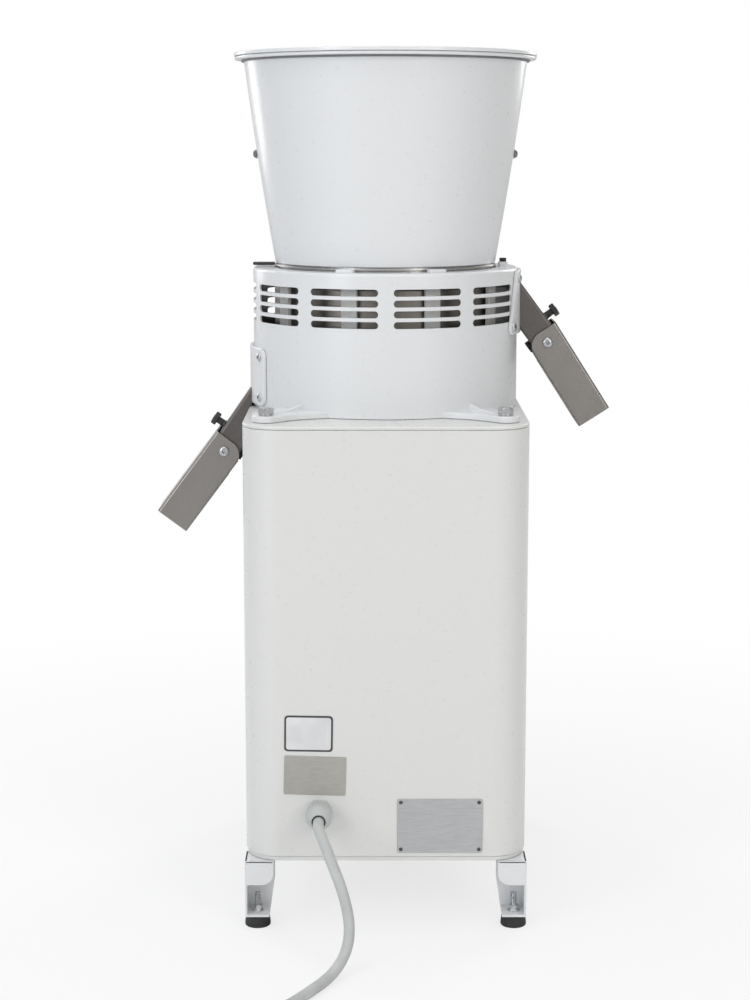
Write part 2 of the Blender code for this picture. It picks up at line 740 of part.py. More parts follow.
def build_housing():
    """The round drum with its vents, and the bolted ears that hold it to the cabinet."""
    inner = HOUSING_RADIUS - HOUSING_WALL
    foot_inner = inner - 2 * HOUSING_FLOOR
    profile = [
        (HOUSING_RADIUS - HOUSING_TOP_EDGE, HOUSING_TOP_Z),
        (HOUSING_RADIUS - HOUSING_TOP_EDGE / 4, HOUSING_TOP_Z - HOUSING_TOP_EDGE / 4),
        (HOUSING_RADIUS, HOUSING_TOP_Z - HOUSING_TOP_EDGE),
        (HOUSING_RADIUS, HOUSING_BOTTOM_Z),
        (foot_inner, HOUSING_BOTTOM_Z),
        (foot_inner, HOUSING_BOTTOM_Z + HOUSING_FLOOR),
        (inner, HOUSING_BOTTOM_Z + HOUSING_FLOOR),
        (inner, HOUSING_TOP_Z - HOUSING_WALL),
        (RING_OPENING_RADIUS, HOUSING_TOP_Z - HOUSING_WALL),
        (RING_OPENING_RADIUS, HOUSING_TOP_Z),
    ]
    housing = add_part("mill_housing", turned(profile, closed=True), WHITE_PAINT)
    cut(housing, vent_cutters())
    for name, (x, y) in corner_places(EAR_REACH_X, EAR_REACH_Y).items():
        outline = [ear_outline(x, y), hole(HOUSING_BOLT_RADIUS + CLEARANCE, (x, y), BOLT_SEGMENTS)]
        ear = moved(plate(outline, EAR_THICKNESS), (0, 0, HOUSING_BOTTOM_Z + EAR_THICKNESS / 2))
        join(housing, ear)
        direction = math.atan2(y, x)
        reach = math.hypot(x, y)
        root = inner + HOUSING_WALL / 3
        rib_end = reach - HOUSING_WASHER_RADIUS - CLEARANCE
        rib_outline = [
            (root, HOUSING_BOTTOM_Z + EAR_THICKNESS / 2),
            (rib_end, HOUSING_BOTTOM_Z + EAR_THICKNESS / 2),
            (rib_end, HOUSING_BOTTOM_Z + EAR_THICKNESS + OVERRUN),
            (root, HOUSING_BOTTOM_Z + EAR_RIB_HEIGHT),
        ]
        join(housing, plate([rib_outline], EAR_RIB_THICKNESS, "XZ"), rotation=(0, 0, direction))
        build_housing_bolt(name, x, y)
    boss_height = LOCK_HEIGHT + OVERRUN
    boss = plate([rounded_rectangle(LOCK_WIDTH, 2 * LOCK_WIDTH, LOCK_WIDTH / 4, 3)], boss_height)
    join(housing, moved(boss, (-LOCK_REACH, 0, HOUSING_TOP_Z + LOCK_HEIGHT - boss_height / 2)))
    screw_hole = disc(LOCK_SCREW_RADIUS / 2 + CLEARANCE, -LOCK_HEIGHT - CLEARANCE, OVERRUN, BOLT_SEGMENTS)
    cut(housing, moved(screw_hole, (-LOCK_REACH, 0, HOUSING_TOP_Z + LOCK_HEIGHT)))
    return housing


def build_housing_bolt(name, x, y):
    """A hexagon bolt with its washer, its shank ending in the ear."""
    under_head = HOUSING_BOTTOM_Z + EAR_THICKNESS + CLEARANCE
    head = HOUSING_WASHER_THICKNESS + HOUSING_BOLT_HEAD
    shank = EAR_THICKNESS
    bolt = add_part(
        "housing_bolt_" + name,
        fastener(HOUSING_BOLT_ACROSS / math.sqrt(3), head, HOUSING_BOLT_RADIUS, shank, HEXAGON_SIDES),
        ZINC,
        (x, y, under_head),
    )
    washer = [circle(HOUSING_WASHER_RADIUS), circle(HOUSING_BOLT_RADIUS / 2, points=BOLT_SEGMENTS)]
    join(bolt, moved(plate(washer, HOUSING_WASHER_THICKNESS), (0, 0, HOUSING_WASHER_THICKNESS / 2)))


def build_chamber():
    """The stainless bowl that holds the stones, and the posts round it."""
    inner = CHAMBER_RADIUS - CHAMBER_WALL
    profile = [
        (CHAMBER_RADIUS, CHAMBER_TOP_Z),
        (CHAMBER_RADIUS, CHAMBER_BOTTOM_Z),
        (SHAFT_HOLE_RADIUS, CHAMBER_BOTTOM_Z),
        (SHAFT_HOLE_RADIUS, CHAMBER_BOTTOM_Z + CHAMBER_WALL),
        (inner, CHAMBER_BOTTOM_Z + CHAMBER_WALL),
        (inner, CHAMBER_TOP_Z),
    ]
    chamber = add_part("milling_chamber", turned(profile, closed=True), STAINLESS)
    height = HOUSING_TOP_Z - HOUSING_WALL - CABINET_TOP_Z - 2 * CLEARANCE
    bottom = CABINET_TOP_Z + CLEARANCE
    half = POST_THICKNESS / 2
    foot = ring(POST_RADIUS + half, POST_RADIUS - half, bottom, bottom + CHUTE_SHEET, MEDIUM_SEGMENTS)
    cage = add_part("post_ring", foot, WHITE_PAINT)
    duct_clear = math.asin((CHUTE_WIDTH / 2 + POST_WIDTH) / POST_RADIUS)
    for i in range(POST_COUNT):
        angle = POST_PHASE + math.tau * i / POST_COUNT
        from_outlet = abs(math.remainder(angle - math.pi / 2, math.pi))
        if from_outlet > duct_clear:
            post = moved(box(POST_WIDTH, POST_THICKNESS, height), (0, POST_RADIUS, bottom + height / 2))
            join(cage, post, rotation=(0, 0, angle))
    slots = []
    for i in range(SIEVE_SLOTS):
        angle = math.tau * i / SIEVE_SLOTS
        turn = Matrix.Rotation(angle, 2)
        outline = slot(SIEVE_SLOT_LENGTH, SIEVE_SLOT_WIDTH, (SIEVE_SLOT_RADIUS, 0))
        slots.append([tuple(turn @ Vector(point)) for point in outline])
    sieve_edge = circle(inner - CLEARANCE, points=ROUND_SEGMENTS)
    sieve_hole = hole(SHAFT_HOLE_RADIUS, points=SMALL_SEGMENTS)
    add_part(
        "sieve_plate",
        plate([sieve_edge, sieve_hole] + slots, SIEVE_THICKNESS),
        STAINLESS,
        (0, 0, SIEVE_BOTTOM_Z + SIEVE_THICKNESS / 2),
    )
    return chamber


def build_stones():
    """The fixed bed stone under the adjusting ring, and the runner stone on its carrier."""
    bed = [
        (STONE_RADIUS, BED_STONE_TOP_Z),
        (STONE_RADIUS, BED_STONE_BOTTOM_Z),
        (STONE_EYE_RADIUS + STONE_HEIGHT / 3, BED_STONE_BOTTOM_Z),
        (STONE_EYE_RADIUS, BED_STONE_BOTTOM_Z + STONE_HEIGHT / 3),
        (STONE_EYE_RADIUS, BED_STONE_TOP_Z),
    ]
    add_part("bed_stone", turned(bed, closed=True), STONE)
    bore = SHAFT_RADIUS + CLEARANCE
    runner = [
        (STONE_RADIUS, RUNNER_TOP_Z),
        (STONE_RADIUS, RUNNER_BOTTOM_Z),
        (bore, RUNNER_BOTTOM_Z),
        (bore, RUNNER_TOP_Z - STONE_HEIGHT / 3),
        (STONE_EYE_RADIUS, RUNNER_TOP_Z - STONE_HEIGHT / 3),
        (STONE_EYE_RADIUS + STONE_HEIGHT / 3, RUNNER_TOP_Z),
    ]
    add_part("runner_stone", turned(runner, closed=True), STONE)
    hub_bottom = CARRIER_BOTTOM_Z - CARRIER_HUB_HEIGHT
    carrier = [
        (CARRIER_RADIUS, CARRIER_TOP_Z),
        (CARRIER_RADIUS, CARRIER_BOTTOM_Z),
        (CARRIER_HUB_RADIUS, CARRIER_BOTTOM_Z),
        (CARRIER_HUB_RADIUS, hub_bottom),
        (bore, hub_bottom),
        (bore, CARRIER_TOP_Z),
    ]
    plate_part = add_part("runner_carrier", turned(carrier, closed=True), CAST)
    blade_root = CARRIER_RADIUS - SWEEPER_WIDTH
    blade_length = SWEEPER_REACH - blade_root
    for i in range(SWEEPER_COUNT):
        blade = moved(
            box(blade_length, SWEEPER_THICKNESS, CARRIER_THICKNESS - 2 * CLEARANCE),
            (blade_root + blade_length / 2, 0, CARRIER_TOP_Z - CARRIER_THICKNESS / 2),
        )
        join(plate_part, blade, rotation=(0, 0, math.tau * i / SWEEPER_COUNT))
    sweeper_bottom = CHAMBER_BOTTOM_Z + CHAMBER_WALL + OVERRUN
    sweeper_top = sweeper_bottom + LOWER_SWEEPER_HEIGHT
    hub = ring(CARRIER_HUB_RADIUS, bore, sweeper_bottom, sweeper_top, MEDIUM_SEGMENTS)
    sweeper = add_part("flour_sweeper", hub, STAINLESS)
    blade_root = bore + SWEEPER_THICKNESS
    blade_length = SWEEPER_REACH - blade_root
    for i in range(SWEEPER_COUNT):
        blade = moved(
            box(blade_length, SWEEPER_THICKNESS, LOWER_SWEEPER_HEIGHT - 2 * OVERRUN),
            (blade_root + blade_length / 2, 0, sweeper_bottom + LOWER_SWEEPER_HEIGHT / 2),
        )
        join(sweeper, blade, rotation=(0, 0, math.tau * i / SWEEPER_COUNT))


def build_adjusting_ring():
    """The ring that turns on the chamber to set the fineness, its lever and its lock screw."""
    bottom = RING_TOP_Z - RING_DEPTH
    inner = RING_RADIUS - RING_SKIRT
    profile = [
        (RING_RADIUS, RING_TOP_Z),
        (RING_RADIUS, bottom),
        (inner, bottom),
        (inner, RING_TOP_Z - RING_WEB),
        (RING_EYE_RADIUS, RING_TOP_Z - RING_WEB),
        (RING_EYE_RADIUS, RING_TOP_Z),
    ]
    add_part("adjusting_ring", turned(profile, closed=True), STAINLESS)
    lever_bottom = HOUSING_TOP_Z + LEVER_LIFT
    start = RING_RADIUS + CLEARANCE
    add_part(
        "adjusting_lever",
        moved(
            box(LEVER_REACH - start, LEVER_WIDTH, LEVER_THICKNESS),
            ((LEVER_REACH + start) / 2, 0, lever_bottom + LEVER_THICKNESS / 2),
        ),
        BLACK_PLASTIC,
    )
    screw_z = HOUSING_TOP_Z + LOCK_HEIGHT + CLEARANCE
    add_part(
        "ring_lock_screw",
        fastener(LOCK_SCREW_RADIUS, LOCK_SCREW_HEAD, LOCK_SCREW_RADIUS / 2, LOCK_HEIGHT),
        BLACK_PLASTIC,
        (-LOCK_REACH, 0, screw_z),
    )


def hopper_radius(height):
    """Outer radius of the hopper at a height above its bottom, with its slight bulge."""
    share = height / HOPPER_HEIGHT
    straight = HOPPER_BOTTOM_RADIUS + (HOPPER_TOP_RADIUS - HOPPER_BOTTOM_RADIUS) * share
    return straight + HOPPER_BULGE * math.sin(math.pi * share)


def build_hopper():
    """The spun hopper with its rolled rim, sloping floor and throat, then its guard and lid."""
    heights = [HOPPER_HEIGHT * (1 - i / HOPPER_STEPS) for i in range(HOPPER_STEPS + 1)]
    outside = [(hopper_radius(h), HOPPER_BOTTOM_Z + h) for h in heights]
    floor_outer = HOPPER_FLOOR_RISE + HOPPER_WALL
    wall_heights = [h for h in reversed(heights) if h > floor_outer]
    inside = [(hopper_radius(h) - HOPPER_WALL, HOPPER_BOTTOM_Z + h) for h in wall_heights]
    throat_top = HOPPER_BOTTOM_Z + HOPPER_WALL * 2
    profile = [
        (RIM_RADIUS, RIM_TOP_Z),
        (RIM_RADIUS, HOPPER_TOP_Z),
        *outside,
        (THROAT_RADIUS + HOPPER_WALL, HOPPER_BOTTOM_Z),
        (THROAT_RADIUS + HOPPER_WALL, RING_TOP_Z - RING_WEB),
        (THROAT_RADIUS, RING_TOP_Z - RING_WEB),
        (THROAT_RADIUS, throat_top),
        (hopper_radius(floor_outer) - HOPPER_WALL, HOPPER_BOTTOM_Z + floor_outer),
        *inside,
        (HOPPER_TOP_RADIUS - HOPPER_WALL, RIM_TOP_Z),
    ]
    hopper = add_part("hopper", turned(profile, HOPPER_SEGMENTS, closed=True), WHITE_PAINT)
    pin_hole = moved(
        disc(GUARD_WIRE + CLEARANCE, -HOPPER_TOP_RADIUS, HOPPER_TOP_RADIUS, BOLT_SEGMENTS),
        (0, 0, GUARD_Z),
        (0, math.pi / 2, 0),
    )
    cut(hopper, pin_hole)
    build_guard()
    lid_outer = RIM_RADIUS + HOPPER_WALL / 3
    lid_top = LID_BOTTOM_Z + LID_THICKNESS
    plug = HOPPER_TOP_RADIUS - HOPPER_WALL - GUARD_WALL_GAP
    lid_profile = [
        (0, lid_top - LID_RECESS_DEPTH),
        (LID_RECESS_RADIUS, lid_top - LID_RECESS_DEPTH),
        (LID_RECESS_RADIUS + LID_RECESS_DEPTH, lid_top),
        (lid_outer - LID_THICKNESS / 3, lid_top),
        (lid_outer, lid_top - LID_THICKNESS / 3),
        (lid_outer, LID_BOTTOM_Z),
        (plug, LID_BOTTOM_Z),
        (plug - LID_RECESS_DEPTH, LID_BOTTOM_Z - LID_LIP_DROP),
        (plug - 2 * LID_RECESS_DEPTH, LID_BOTTOM_Z - LID_LIP_DROP),
        (plug - 2 * LID_RECESS_DEPTH, LID_BOTTOM_Z),
        (0, LID_BOTTOM_Z),
    ]
    add_part("hopper_lid", turned(lid_profile, HOPPER_SEGMENTS), WHITE_PAINT)


def wire(points, radius, cyclic=False):
    """A round wire through the points."""
    curve = bpy.data.curves.new("wire", "CURVE")
    curve.dimensions = "3D"
    curve.bevel_depth = radius
    curve.bevel_resolution = 1
    curve.use_fill_caps = True
    spline = curve.splines.new("POLY")
    spline.points.add(len(points) - 1)
    for point, place in zip(spline.points, points):
        point.co = (*place, 1)
    spline.use_cyclic_u = cyclic
    return as_mesh(bpy.data.objects.new("wire", curve))


def build_guard():
    """A wire grid inside the hopper, held by a nut on each side."""
    ring_radius = hopper_radius(GUARD_HEIGHT) - HOPPER_WALL - GUARD_WALL_GAP - GUARD_WIRE
    points = [(x, y, GUARD_Z) for x, y in circle(ring_radius, points=2 * MEDIUM_SEGMENTS)]
    guard = add_part("hopper_guard", wire(points, GUARD_WIRE, cyclic=True), STAINLESS)
    wall = hopper_radius(GUARD_HEIGHT)
    for i in range(GUARD_BARS):
        offset = (i - (GUARD_BARS - 1) / 2) * GUARD_PITCH
        if abs(offset) > MERGE:
            half = math.sqrt(ring_radius**2 - offset**2)
        else:
            half = wall + GUARD_NUT_LENGTH / 2
        join(guard, wire([(-half, offset, GUARD_Z), (half, offset, GUARD_Z)], GUARD_WIRE))
    for name, side in (("left", 1), ("right", -1)):
        profile = [
            (0, GUARD_NUT_LENGTH),
            (GUARD_NUT_RADIUS * DOME_SHARE, GUARD_NUT_LENGTH),
            (GUARD_NUT_RADIUS, GUARD_NUT_LENGTH / 2),
            (GUARD_NUT_RADIUS, 0),
            (GUARD_WIRE + CLEARANCE, 0),
            (GUARD_WIRE + CLEARANCE, GUARD_NUT_LENGTH / 2 + CLEARANCE),
            (0, GUARD_NUT_LENGTH / 2 + CLEARANCE),
        ]
        nut = turned(profile, BOLT_SEGMENTS)
        taper = (HOPPER_TOP_RADIUS - HOPPER_BOTTOM_RADIUS) / HOPPER_HEIGHT
        place = (side * (wall + GUARD_NUT_RADIUS * taper + CLEARANCE), 0, GUARD_Z)
        add_part("guard_nut_" + name, nut, ZINC, place, (0, side * math.pi / 2, 0))


def flange_ring(bottom, top):
    inner = HOUSING_RADIUS + CLEARANCE
    return ring(inner + FLANGE_THICKNESS, inner, bottom, top)


def rounded_quad(corners, radius, points=ARC_POINTS):
    """A four-cornered outline, each corner replaced by an arc tangent to its two edges."""
    outline = []
    for i, corner in enumerate(corners):
        here = Vector(corner)
        back = (Vector(corners[i - 1]) - here).normalized()
        ahead = (Vector(corners[(i + 1) % len(corners)]) - here).normalized()
        half = back.angle(ahead) / 2
        reach = radius / math.tan(half)
        middle = here + (back + ahead).normalized() * radius / math.sin(half)
        first, last = here + back * reach - middle, here + ahead * reach - middle
        turn = first.angle_signed(last)
        for step in range(points):
            point = middle + Matrix.Rotation(-turn * step / (points - 1), 2) @ first
            outline.append(tuple(point))
    return outline


def chute_side(pivot_x):
    """The turn about Z that points a chute's own X axis away from the mill."""
    return 0 if pivot_x > 0 else math.pi


def chute_levels(pivot_x, pivot_z, slope, at_x):
    """Heights of a chute's lowest and highest edge where it crosses a distance from the axis."""
    middle = pivot_z + (abs(pivot_x) - at_x) * math.tan(slope)
    half = CHUTE_HEIGHT / 2 / math.cos(slope)
    return middle - half, middle + half


def build_outlet(name, pivot_x, outline, port_bottom, port_top, housing, chamber):
    """A curved flange on the drum, with the duct that reaches in to the milling chamber."""
    yaw = chute_side(pivot_x)
    heights = [z for _, z in outline]
    flange = add_part(name + "_outlet_flange", flange_ring(min(heights), max(heights)), WHITE_PAINT)
    reach = HOUSING_RADIUS + FLANGE_THICKNESS + OVERRUN
    cover = moved(plate([outline], HOUSING_RADIUS, "YZ"), (reach - HOUSING_RADIUS / 2, 0, 0))
    boolean(flange, cover, "INTERSECT", rotation=(0, 0, yaw))
    port_width = CHUTE_WIDTH - 4 * CHUTE_SHEET
    port_height = port_top - port_bottom
    middle_z = (port_top + port_bottom) / 2
    inner_end = CHAMBER_RADIUS - CHAMBER_WALL
    duct_end = HOUSING_RADIUS + FLANGE_THICKNESS / 2
    duct_start = inner_end * math.cos(math.asin(port_width / 2 / CHAMBER_RADIUS)) - OVERRUN
    duct = box(duct_end - duct_start, port_width + 2 * CHUTE_SHEET, port_height + 2 * CHUTE_SHEET)
    duct_x = (duct_end + duct_start) / 2
    join(flange, moved(duct, (duct_x, 0, middle_z)), rotation=(0, 0, yaw))
    bore = box(HOUSING_RADIUS, port_width, port_height)
    cut(flange, moved(bore, (HOUSING_RADIUS, 0, middle_z)), rotation=(0, 0, yaw))
    inside = disc(CHAMBER_RADIUS + CLEARANCE, 2 * OVERRUN, HOUSING_TOP_Z + OVERRUN, ROUND_SEGMENTS)
    cut(flange, inside)
    around = 2 * (CHUTE_SHEET + CLEARANCE)
    passage = box(HOUSING_RADIUS / 2, port_width + around, port_height + around)
    cut(housing, moved(passage, (HOUSING_RADIUS, 0, middle_z)), rotation=(0, 0, yaw))
    hole = box(CHAMBER_RADIUS / 2, port_width, port_height)
    cut(chamber, moved(hole, (CHAMBER_RADIUS, 0, middle_z)), rotation=(0, 0, yaw))


def build_chute(name, pivot_x, pivot_z, slope):
    """The fixed chute, a box tube that runs down from its flange to just past the pivot."""
    yaw = chute_side(pivot_x)
    back = HOUSING_RADIUS
    length = back + CHUTE_PAST_PIVOT
    turn = (0, slope, yaw)
    place = (pivot_x, 0, pivot_z)
    outer = moved(box(length, CHUTE_WIDTH, CHUTE_HEIGHT), (CHUTE_PAST_PIVOT - length / 2, 0, 0))
    chute = add_part(name + "_chute", moved(outer, place, turn), STAINLESS)
    bore = box(length + 2 * OVERRUN, CHUTE_WIDTH - 2 * CHUTE_SHEET, CHUTE_HEIGHT - 2 * CHUTE_SHEET)
    cut(chute, moved(moved(bore, (CHUTE_PAST_PIVOT - length / 2, 0, 0)), place, turn))
    flange_face = HOUSING_RADIUS + FLANGE_THICKNESS + 2 * CLEARANCE
    drum_top = HOUSING_TOP_Z + HOUSING_RADIUS
    cut(chute, disc(flange_face, CABINET_TOP_Z, drum_top, ROUND_SEGMENTS))
    side = CABINET_WIDTH / 2 + CLEARANCE
    hidden = box(2 * side, CABINET_DEPTH, CABINET_TOP_Z + OVERRUN / 2)
    cut(chute, moved(hidden, (0, 0, (CABINET_TOP_Z + OVERRUN / 2) / 2)))
    cross = moved(disc(PIVOT_RADIUS + CLEARANCE, -CHUTE_WIDTH, CHUTE_WIDTH), (0, 0, 0), (math.pi / 2, 0, 0))
    cut(chute, moved(cross, place))
    knob_hole = disc(KNOB_SCREW_RADIUS + CLEARANCE, 0, CHUTE_HEIGHT, BOLT_SEGMENTS)
    cut(chute, moved(moved(knob_hole, (-KNOB_BACK, 0, 0)), place, turn))
    return chute


def build_spout(name, pivot_x, pivot_z, spout_slope):
    """The tilting spout: a box tube with rounded ears round the pivot."""
    half = SPOUT_HEIGHT / 2
    end = SPOUT_LENGTH - SPOUT_BACK
    ear_middle = (SPOUT_EAR_RADIUS - SPOUT_BACK, SPOUT_EAR_RADIUS - half)
    ear = arc(ear_middle, SPOUT_EAR_RADIUS, math.pi, 3 * math.pi / 2)
    outline = [(-SPOUT_BACK, half)] + ear + [(end, -half), (end, half)]
    spout = add_part(
        name + "_spout",
        plate([outline], SPOUT_WIDTH, "XZ"),
        STAINLESS,
        (pivot_x, 0, pivot_z),
        (0, spout_slope, chute_side(pivot_x)),
    )
    inner_width = SPOUT_WIDTH - 2 * CHUTE_SHEET
    cut(spout, box(2 * SPOUT_LENGTH + OVERRUN, inner_width, SPOUT_HEIGHT - 2 * CHUTE_SHEET))
    notch_height = 2 * OVERRUN + CHUTE_SHEET
    notch = box(2 * SPOUT_FLOOR_START, inner_width, 2 * notch_height)
    cut(spout, moved(notch, (0, 0, -half)))
    cut(spout, disc(PIVOT_RADIUS + CLEARANCE, -SPOUT_WIDTH, SPOUT_WIDTH), rotation=(math.pi / 2, 0, 0))
    return spout


def build_pivot_screws(name, pivot_x, pivot_z):
    """Two short button-head screws, each with its collar inside the chute."""
    length = (SPOUT_WIDTH - CHUTE_WIDTH) / 2 + CHUTE_SHEET + 2 * CLEARANCE
    profile = [
        (0, PIVOT_HEAD_HEIGHT),
        (PIVOT_HEAD_RADIUS * DOME_SHARE, PIVOT_HEAD_HEIGHT),
        (PIVOT_HEAD_RADIUS, PIVOT_HEAD_HEIGHT / 3),
        (PIVOT_HEAD_RADIUS, 0),
        (PIVOT_RADIUS, 0),
        (PIVOT_RADIUS, -length),
        (PIVOT_COLLAR_RADIUS, -length),
        (PIVOT_COLLAR_RADIUS, -length - PIVOT_COLLAR_THICKNESS),
        (0, -length - PIVOT_COLLAR_THICKNESS),
    ]
    for end, side in (("back", 1), ("front", -1)):
        place = (pivot_x, side * (SPOUT_WIDTH / 2 + CLEARANCE), pivot_z)
        screw = turned(profile, SMALL_SEGMENTS)
        add_part(f"{name}_pivot_screw_{end}", screw, ZINC, place, (-side * math.pi / 2, 0, 0))


def build_knob(name, pivot_x, pivot_z, slope):
    """A lobed clamp knob on the chute's top."""
    yaw = chute_side(pivot_x)
    turn = Matrix.Rotation(yaw, 3, "Z") @ Matrix.Rotation(slope, 3, "Y")
    base = CHUTE_HEIGHT / 2 + CLEARANCE
    place = Vector((pivot_x, 0, pivot_z)) + turn @ Vector((-KNOB_BACK, 0, base))
    points = 4 * KNOB_LOBES
    outline = []
    for i in range(points):
        angle = math.tau * i / points
        radius = KNOB_RADIUS - KNOB_LOBE_DEPTH * (1 - math.cos(KNOB_LOBES * angle)) / 2
        outline.append((radius * math.cos(angle), radius * math.sin(angle)))
    head = moved(plate([outline], KNOB_HEIGHT), (0, 0, KNOB_NECK_HEIGHT + KNOB_HEIGHT / 2))
    knob = add_part(name + "_clamp_knob", head, BLACK_PLASTIC, place, (0, slope, yaw))
    stem = [
        (0, KNOB_NECK_HEIGHT + KNOB_HEIGHT / 2),
        (KNOB_NECK_RADIUS, KNOB_NECK_HEIGHT + KNOB_HEIGHT / 2),
        (KNOB_NECK_RADIUS, 0),
        (KNOB_SCREW_RADIUS, 0),
        (KNOB_SCREW_RADIUS, -2 * CHUTE_SHEET),
        (0, -2 * CHUTE_SHEET),
    ]
    join(knob, turned(stem, BOLT_SEGMENTS))


def chute_buffer(pivot_x, pivot_z, slope):
    """A rubber block under the chute, just behind the pivot."""
    under = -CHUTE_HEIGHT / 2 - (BUFFER_THICKNESS - CHUTE_SHEET) / 2
    block = box(BUFFER_LENGTH, BUFFER_WIDTH, BUFFER_THICKNESS + CHUTE_SHEET / 2)
    block = moved(block, (-BUFFER_BACK, 0, under))
    return moved(block, (pivot_x, 0, pivot_z), (0, slope, chute_side(pivot_x)))


def build_outlets_and_chutes(housing, chamber):
    flange_x = HOUSING_RADIUS + CLEARANCE + FLANGE_THICKNESS
    top = HOUSING_TOP_Z - UPPER_FLANGE_DROP
    bottom = top - UPPER_FLANGE_HEIGHT
    upper_half, lower_half = UPPER_FLANGE_TOP_WIDTH / 2, UPPER_FLANGE_BOTTOM_WIDTH / 2
    upper_outline = rounded_quad(
        [(upper_half, top), (-upper_half, top), (-lower_half, bottom), (lower_half, bottom)], FLANGE_CORNER
    )
    low, high = chute_levels(UPPER_PIVOT_X, UPPER_PIVOT_Z, UPPER_CHUTE_SLOPE, flange_x)
    build_outlet("upper", UPPER_PIVOT_X, upper_outline, low + PORT_LIP, high - PORT_LIP, housing, chamber)
    bottom = HOUSING_BOTTOM_Z + LOWER_FLANGE_LIFT
    top = bottom + LOWER_FLANGE_HEIGHT
    half = LOWER_FLANGE_WIDTH / 2
    lower_outline = rounded_quad(
        [(half, top), (-half, top), (-half, bottom), (half, bottom)], LOWER_FLANGE_CORNER
    )
    _, high = chute_levels(LOWER_PIVOT_X, LOWER_PIVOT_Z, LOWER_CHUTE_SLOPE, flange_x)
    port_bottom = bottom + 2 * CHUTE_SHEET
    build_outlet("lower", LOWER_PIVOT_X, lower_outline, port_bottom, high - PORT_LIP, housing, chamber)
    sides = (
        ("upper", UPPER_PIVOT_X, UPPER_PIVOT_Z, UPPER_CHUTE_SLOPE, UPPER_SPOUT_SLOPE),
        ("lower", LOWER_PIVOT_X, LOWER_PIVOT_Z, LOWER_CHUTE_SLOPE, LOWER_SPOUT_SLOPE),
    )
    for name, pivot_x, pivot_z, slope, spout_slope in sides:
        chute = build_chute(name, pivot_x, pivot_z, slope)
        build_spout(name, pivot_x, pivot_z, spout_slope)
        build_knob(name, pivot_x, pivot_z, slope)
        build_pivot_screws(name, pivot_x, pivot_z)
        join(chute, chute_buffer(pivot_x, pivot_z, slope))
        if name == "lower":
            close_chute_back(chute)


def close_chute_back(chute):
    """The sheet behind the lower chute's mouth, where it runs down outside the cabinet."""
    wall_x = CABINET_WIDTH / 2 + CLEARANCE + CHUTE_SHEET / 2
    low, _ = chute_levels(LOWER_PIVOT_X, LOWER_PIVOT_Z, LOWER_CHUTE_SLOPE, wall_x)
    wall_bottom = low + CHUTE_SHEET
    wall_top = CABINET_TOP_Z
    back = box(CHUTE_SHEET, CHUTE_WIDTH - CHUTE_SHEET, wall_top - wall_bottom)
    join(chute, moved(back, (wall_x, 0, (wall_top + wall_bottom) / 2)))


